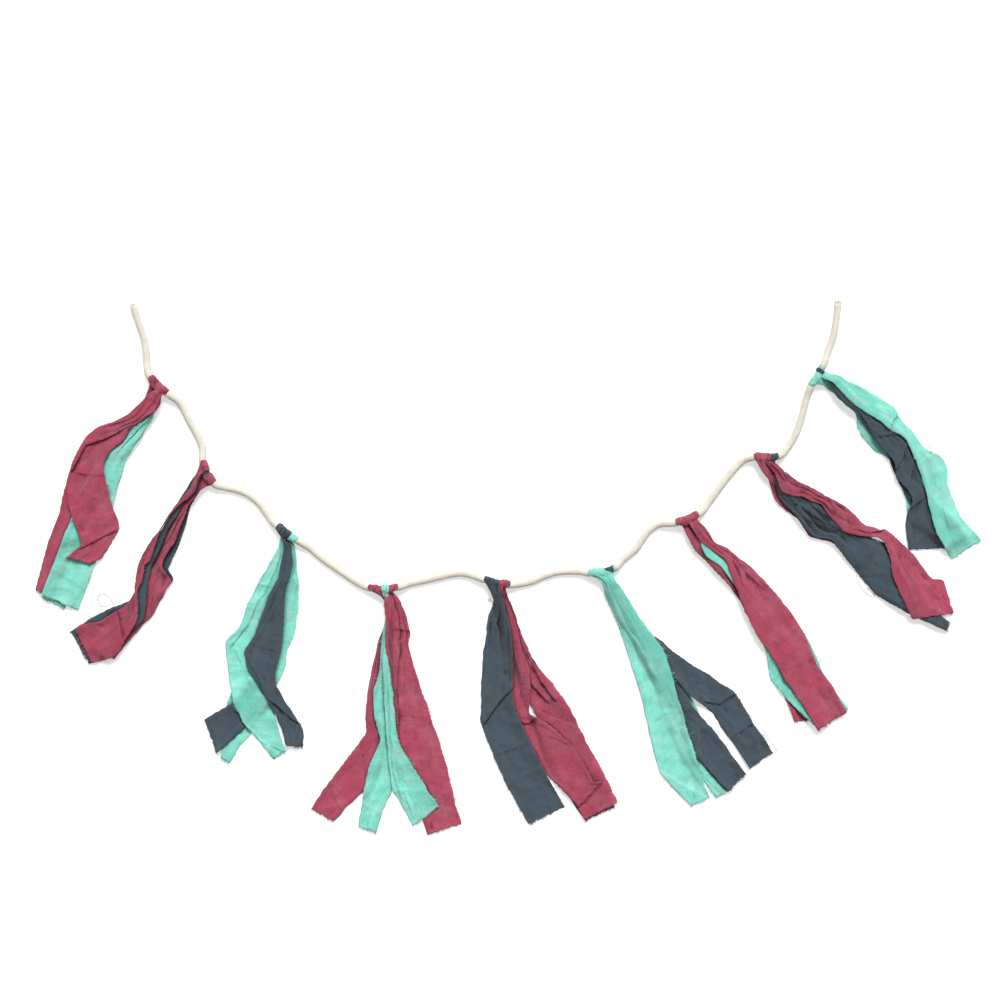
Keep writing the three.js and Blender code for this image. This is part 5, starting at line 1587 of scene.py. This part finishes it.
def woven_cotton():
    """Plain weave with uneven yarns, worn and creased by its packing. Shade mixes its colour
    towards a painted shade colour in folds and hollows.

    Place is across and along the strip in metres. Height is in metres.
    """
    inputs = {"Place": "vector", "Colour": "colour", "Faded colour": "colour",
              "Painted shade colour": "colour", "Fading": "value", "Yarn contrast": "value",
              "Shade": "value"}
    outputs = {"Colour": "colour", "Roughness": "value", "Height": "value"}
    group, n, given, out = new_group("woven_cotton", inputs, outputs)
    spot = given.outputs["Place"]
    parts = n.add("ShaderNodeSeparateXYZ", {0: spot})
    turn = math.pi / WEAVE_PITCH
    over = n.math("MULTIPLY", n.math("SINE", n.math("MULTIPLY", parts.outputs[0], turn)),
                  n.math("SINE", n.math("MULTIPLY", parts.outputs[1], turn)))
    warp = n.noise(n.stretch(spot, *YARN_SCALE), 1)
    weft = n.noise(n.stretch(spot, *YARN_SCALE[::-1]), 1)
    yarns = n.math("ADD", n.fit(warp, *NOISE_RANGE, -1, 1), n.fit(weft, *NOISE_RANGE, -1, 1))
    grain = n.noise(spot, GRAIN_SCALE, 2, 0.6)
    patches = n.math("ADD", n.noise(spot, WORN_SCALE, 4, 0.55),
                     n.math("MULTIPLY", n.math("SUBTRACT", grain, 0.5), 0.5))
    worn = n.math("MULTIPLY", n.fit(patches, *WORN_RANGE, 0, 1), given.outputs["Fading"])
    colour_out = n.mix(worn, given.outputs["Colour"], given.outputs["Faded colour"])
    cloudy = n.noise(spot, CLOUD_SCALE, 3, 0.6)
    light = n.math("ADD", n.math("MULTIPLY", yarns, given.outputs["Yarn contrast"]),
                   n.fit(cloudy, *NOISE_RANGE, 0.92, 1.07))
    light = n.math("ADD", light, n.fit(grain, *NOISE_RANGE, -0.06, 0.06))
    bright = n.add("ShaderNodeCombineXYZ", {0: light, 1: light, 2: light}).outputs[0]
    colour_out = n.mix(1.0, colour_out, bright, "MULTIPLY")
    # Painted shade: the colour mixes towards the painted shade colour by the shade the points
    # carry
    colour_out = n.mix(given.outputs["Shade"], colour_out, given.outputs["Painted shade colour"])
    cross = n.noise(n.stretch(spot, *CREASE_SCALE), 1, 3, 0.55)
    ridge = n.math("ABSOLUTE", n.math("SUBTRACT", cross, 0.5))
    crease = n.fit(ridge, 0, CREASE_SHARE, 1, 0)
    rumple = n.noise(n.stretch(spot, *RUMPLE_SCALE), 1, 3, 0.6)
    height = n.math("MULTIPLY", over, WEAVE_HEIGHT)
    for part, size in ((yarns, YARN_HEIGHT), (crease, CREASE_HEIGHT), (rumple, RUMPLE_HEIGHT)):
        height = n.math("ADD", height, n.math("MULTIPLY", part, size))
    links = n.tree.links
    links.new(colour_out, out.inputs["Colour"])
    links.new(n.fit(cloudy, *NOISE_RANGE, *WOVEN_ROUGHNESS), out.inputs["Roughness"])
    links.new(height, out.inputs["Height"])
    return group


BRAID_TURNS = (2222, 2600)
# How much painted shade darkens the grooves of the rope's braid
BRAID_SHADE = 0.1
BRAID_HEIGHT = 0.16 * MM
FIBRE_CONTRAST = 0.03
FIBRE_HEIGHT = 0.1 * MM
FIBRE_SCALE = (1500, 500)
FLUFF_SCALE = 130
SPUN_ROUGHNESS = (0.88, 0.98)
# How much warmer in tint the painted shade in the braid's grooves is
GROOVE_SHADE_WARMTH = 0.35


def spun_cotton():
    """Soft fibres of a rope or a thread, with painted shade as dark as Shade in its braid's
    grooves. Place is in metres, and Height is in metres.
    """
    inputs = {"Place": "vector", "Colour": "colour", "Shade": "value", "Braid height": "value"}
    outputs = {"Colour": "colour", "Roughness": "value", "Height": "value"}
    group, n, given, out = new_group("spun_cotton", inputs, outputs)
    spot = given.outputs["Place"]
    parts = n.add("ShaderNodeSeparateXYZ", {0: spot})
    around, along = (
        n.math("MULTIPLY", parts.outputs[i], turns) for i, turns in enumerate(BRAID_TURNS))
    braid = n.math("MULTIPLY", n.math("SINE", n.math("ADD", around, along)),
                   n.math("SINE", n.math("SUBTRACT", around, along)))
    fibres = n.noise(n.stretch(spot, *FIBRE_SCALE), 1, 3, 0.6)
    clouds = n.noise(spot, FLUFF_SCALE, 3, 0.6)
    light = n.math("ADD", n.fit(clouds, *NOISE_RANGE, 0.95, 1.02),
                   n.math("MULTIPLY", n.fit(fibres, *NOISE_RANGE, -1, 1), FIBRE_CONTRAST))
    # Painted shade in the braid's grooves, a little warmer in tint
    groove_shade = n.math("MULTIPLY", n.fit(braid, -0.7, 0.1, 1, 0), given.outputs["Shade"])
    light = n.math("SUBTRACT", light, groove_shade)
    warm = n.math("SUBTRACT", light, n.math("MULTIPLY", groove_shade, GROOVE_SHADE_WARMTH))
    bright = n.add("ShaderNodeCombineXYZ", {0: light, 1: light, 2: warm})
    colour_out = n.mix(1.0, given.outputs["Colour"], bright.outputs[0], "MULTIPLY")
    height = n.math("ADD", n.math("MULTIPLY", braid, given.outputs["Braid height"]),
                    n.math("MULTIPLY", fibres, FIBRE_HEIGHT))
    links = n.tree.links
    links.new(colour_out, out.inputs["Colour"])
    links.new(n.fit(fibres, *NOISE_RANGE, *SPUN_ROUGHNESS), out.inputs["Roughness"])
    links.new(height, out.inputs["Height"])
    return group


SPECULAR = 0.2
SHEEN = 0.25
SHEEN_ROUGHNESS = 0.6


def cotton_material(name, group, values):
    """A matt cotton whose colour, roughness and height come from a node group"""
    material = bpy.data.materials.new(name)
    material.use_nodes = True
    n = Nodes(material.node_tree)
    spot = n.add("ShaderNodeUVMap", uv_map="cloth").outputs[0]
    finish = n.add("ShaderNodeGroup", node_tree=group)
    n.tree.links.new(spot, finish.inputs["Place"])
    if group.name == "woven_cotton":
        # Painted shade carried by the cloth's points
        shade = n.add("ShaderNodeAttribute", attribute_name="shade").outputs["Fac"]
        n.tree.links.new(shade, finish.inputs["Shade"])
    for key, value in values.items():
        finish.inputs[key].default_value = value
    bump = n.add("ShaderNodeBump", {
        "Strength": 1, "Distance": 1, "Height": finish.outputs["Height"]})
    shader = n.add("ShaderNodeBsdfPrincipled", {
        "Base Color": finish.outputs["Colour"], "Roughness": finish.outputs["Roughness"],
        "Normal": bump.outputs[0], "Specular IOR Level": SPECULAR, "Sheen Weight": SHEEN,
        "Sheen Roughness": SHEEN_ROUGHNESS})
    n.add("ShaderNodeOutputMaterial", {"Surface": shader.outputs[0]})
    return material


# Each cloth: its colour where it is worn, its painted shade colour deep in a fold, how worn it
# is, and how much its yarns show
CLOTH_WEAR_AND_SHADE = {
    "crimson": ("#B06274", "#66182C", 0.6, 0.06),
    "mint": ("#A3D9CE", "#4FA595", 0.75, 0.03),
    "slate": ("#3D4953", "#1E262F", 0.6, 0.08),
}


def cloth_materials(colours):
    """The material of each cloth, by the name of its colour"""
    group = woven_cotton()
    materials = {}
    # deep is the painted shade colour of folds and hollows
    for name, (faded, deep, fading, contrast) in CLOTH_WEAR_AND_SHADE.items():
        materials[name] = cotton_material(f"{name}_cloth", group, {
            "Colour": opaque(getattr(colours, name)), "Faded colour": opaque(linear(faded)),
            "Painted shade colour": opaque(linear(deep)), "Fading": fading, "Yarn contrast": contrast})
    return materials


def spun_material(name, value, shade, braid_height):
    """The material of a rope or a thread. shade is how dark the painted shade in its braid's
    grooves is.
    """
    group = bpy.data.node_groups.get("spun_cotton") or spun_cotton()
    return cotton_material(name, group, {
        "Colour": opaque(value), "Shade": shade, "Braid height": braid_height})


# Stage

TABLE_SIZE = 12
CAMERA_HEIGHT = 2.2
SENSOR_WIDTH = 36
WORLD_LIGHT = 0.32
SUN_TURN = (-44, 0, -8)
SUN_SPREAD = 26
SUN_STRENGTH = 3.25
TABLE_GLOW = 0.48


def seen_directly(n):
    """1 where the camera sees a place, itself or through gloss or glass"""
    path = n.add("ShaderNodeLightPath")
    straight = n.math("MAXIMUM", path.outputs["Is Camera Ray"], path.outputs["Is Glossy Ray"])
    return n.math("MAXIMUM", straight, path.outputs["Is Transmission Ray"])


def build_stage(colours):
    """The white table, the light, and the white that surrounds them"""
    half = TABLE_SIZE / 2
    material = bpy.data.materials.new("white_table")
    material.use_nodes = True
    n = Nodes(material.node_tree)
    glow = n.math("MULTIPLY", seen_directly(n), TABLE_GLOW)
    shader = n.add("ShaderNodeBsdfPrincipled", {
        "Base Color": opaque(colours.table), "Roughness": 0.9, "Specular IOR Level": 0,
        "Emission Color": (1, 1, 1, 1), "Emission Strength": glow})
    n.add("ShaderNodeOutputMaterial", {"Surface": shader.outputs[0]})
    corners = [(-half, -half, 0), (half, -half, 0), (half, half, 0), (-half, half, 0)]
    table = mesh_object("table", corners, [(0, 1, 2, 3)], material)

    world = bpy.data.worlds.new("studio")
    world.use_nodes = True
    n = Nodes(world.node_tree)
    strength = n.math("MAXIMUM", seen_directly(n), WORLD_LIGHT)
    sky = n.add("ShaderNodeBackground", {"Color": (1, 1, 1, 1), "Strength": strength})
    n.add("ShaderNodeOutputWorld", {"Surface": sky.outputs[0]})
    bpy.context.scene.world = world

    light = bpy.data.lights.new("window_light", "SUN")
    light.angle = math.radians(SUN_SPREAD)
    light.energy = SUN_STRENGTH
    window = bpy.data.objects.new("window_light", light)
    window.rotation_euler = [math.radians(turn) for turn in SUN_TURN]
    bpy.context.scene.collection.objects.link(window)
    bpy.context.scene.view_settings.view_transform = "Standard"


def build_camera(sizes):
    """A camera straight over the photograph's middle, which frames it as the photograph does"""
    camera = bpy.data.cameras.new("overhead_camera")
    camera.sensor_width = SENSOR_WIDTH
    camera.lens = SENSOR_WIDTH * CAMERA_HEIGHT / (PHOTO_PIXELS * sizes.photo_pixel)
    stand = bpy.data.objects.new("overhead_camera", camera)
    stand.location = place(PHOTO_MIDDLE, CAMERA_HEIGHT)
    bpy.context.scene.collection.objects.link(stand)
    bpy.context.scene.camera = stand


# Operators


class PlaceCamera(bpy.types.Operator):
    """Place the camera straight over the garland"""

    bl_idname = "garland.place_camera"
    bl_label = "Camera"

    def execute(self, context):
        build_camera(context.scene.garland_sizes)
        return {"FINISHED"}


class LayRope(bpy.types.Operator):
    """Lay the cotton rope in its curve, with the threads of its two cut ends"""

    bl_idname = "garland.lay_rope"
    bl_label = "Rope"

    def execute(self, context):
        material = spun_material("rope_cotton", context.scene.garland_colours.rope,
                                 BRAID_SHADE, BRAID_HEIGHT)
        build_rope(context.scene.garland_sizes, material)
        return {"FINISHED"}


class TieTassels(bpy.types.Operator):
    """Tie the nine tassels, two strips of cloth each, and lay out their tails"""

    bl_idname = "garland.tie_tassels"
    bl_label = "Tassels"

    def execute(self, context):
        scene = context.scene
        materials = cloth_materials(scene.garland_colours)
        materials["thread"] = spun_material("loose_thread", scene.garland_colours.thread, 0.0, 0.0)
        for number, tassel in enumerate(TASSELS, 1):
            build_tassel(number, tassel, scene.garland_sizes, materials)
        return {"FINISHED"}


class SetStage(bpy.types.Operator):
    """Set up the white table and the soft light"""

    bl_idname = "garland.set_stage"
    bl_label = "Table and light"

    def execute(self, context):
        build_stage(context.scene.garland_colours)
        return {"FINISHED"}


STEPS = (PlaceCamera, LayRope, TieTassels, SetStage)


class GarlandPanel(bpy.types.Panel):
    """Sizes, colours and building steps of the garland"""

    bl_idname = "VIEW3D_PT_garland"
    bl_label = "Tassel Garland"
    bl_space_type = "VIEW_3D"
    bl_region_type = "UI"
    bl_category = "Garland"

    def draw(self, context):
        for values in (context.scene.garland_sizes, context.scene.garland_colours):
            column = self.layout.column(align=True)
            for name in values.__annotations__:
                column.prop(values, name)
        for step in STEPS:
            self.layout.operator(step.bl_idname)


CLASSES = (GarlandSizes, GarlandColours, *STEPS, GarlandPanel)


def register():
    for cls in CLASSES:
        bpy.utils.register_class(cls)
    bpy.types.Scene.garland_sizes = bpy.props.PointerProperty(type=GarlandSizes)
    bpy.types.Scene.garland_colours = bpy.props.PointerProperty(type=GarlandColours)


def unregister():
    del bpy.types.Scene.garland_colours
    del bpy.types.Scene.garland_sizes
    for cls in reversed(CLASSES):
        bpy.utils.unregister_class(cls)


def main():
    register()
    bpy.ops.garland.place_camera()
    bpy.ops.garland.lay_rope()
    bpy.ops.garland.tie_tassels()
    bpy.ops.garland.set_stage()


if __name__ == "__main__":
    main()
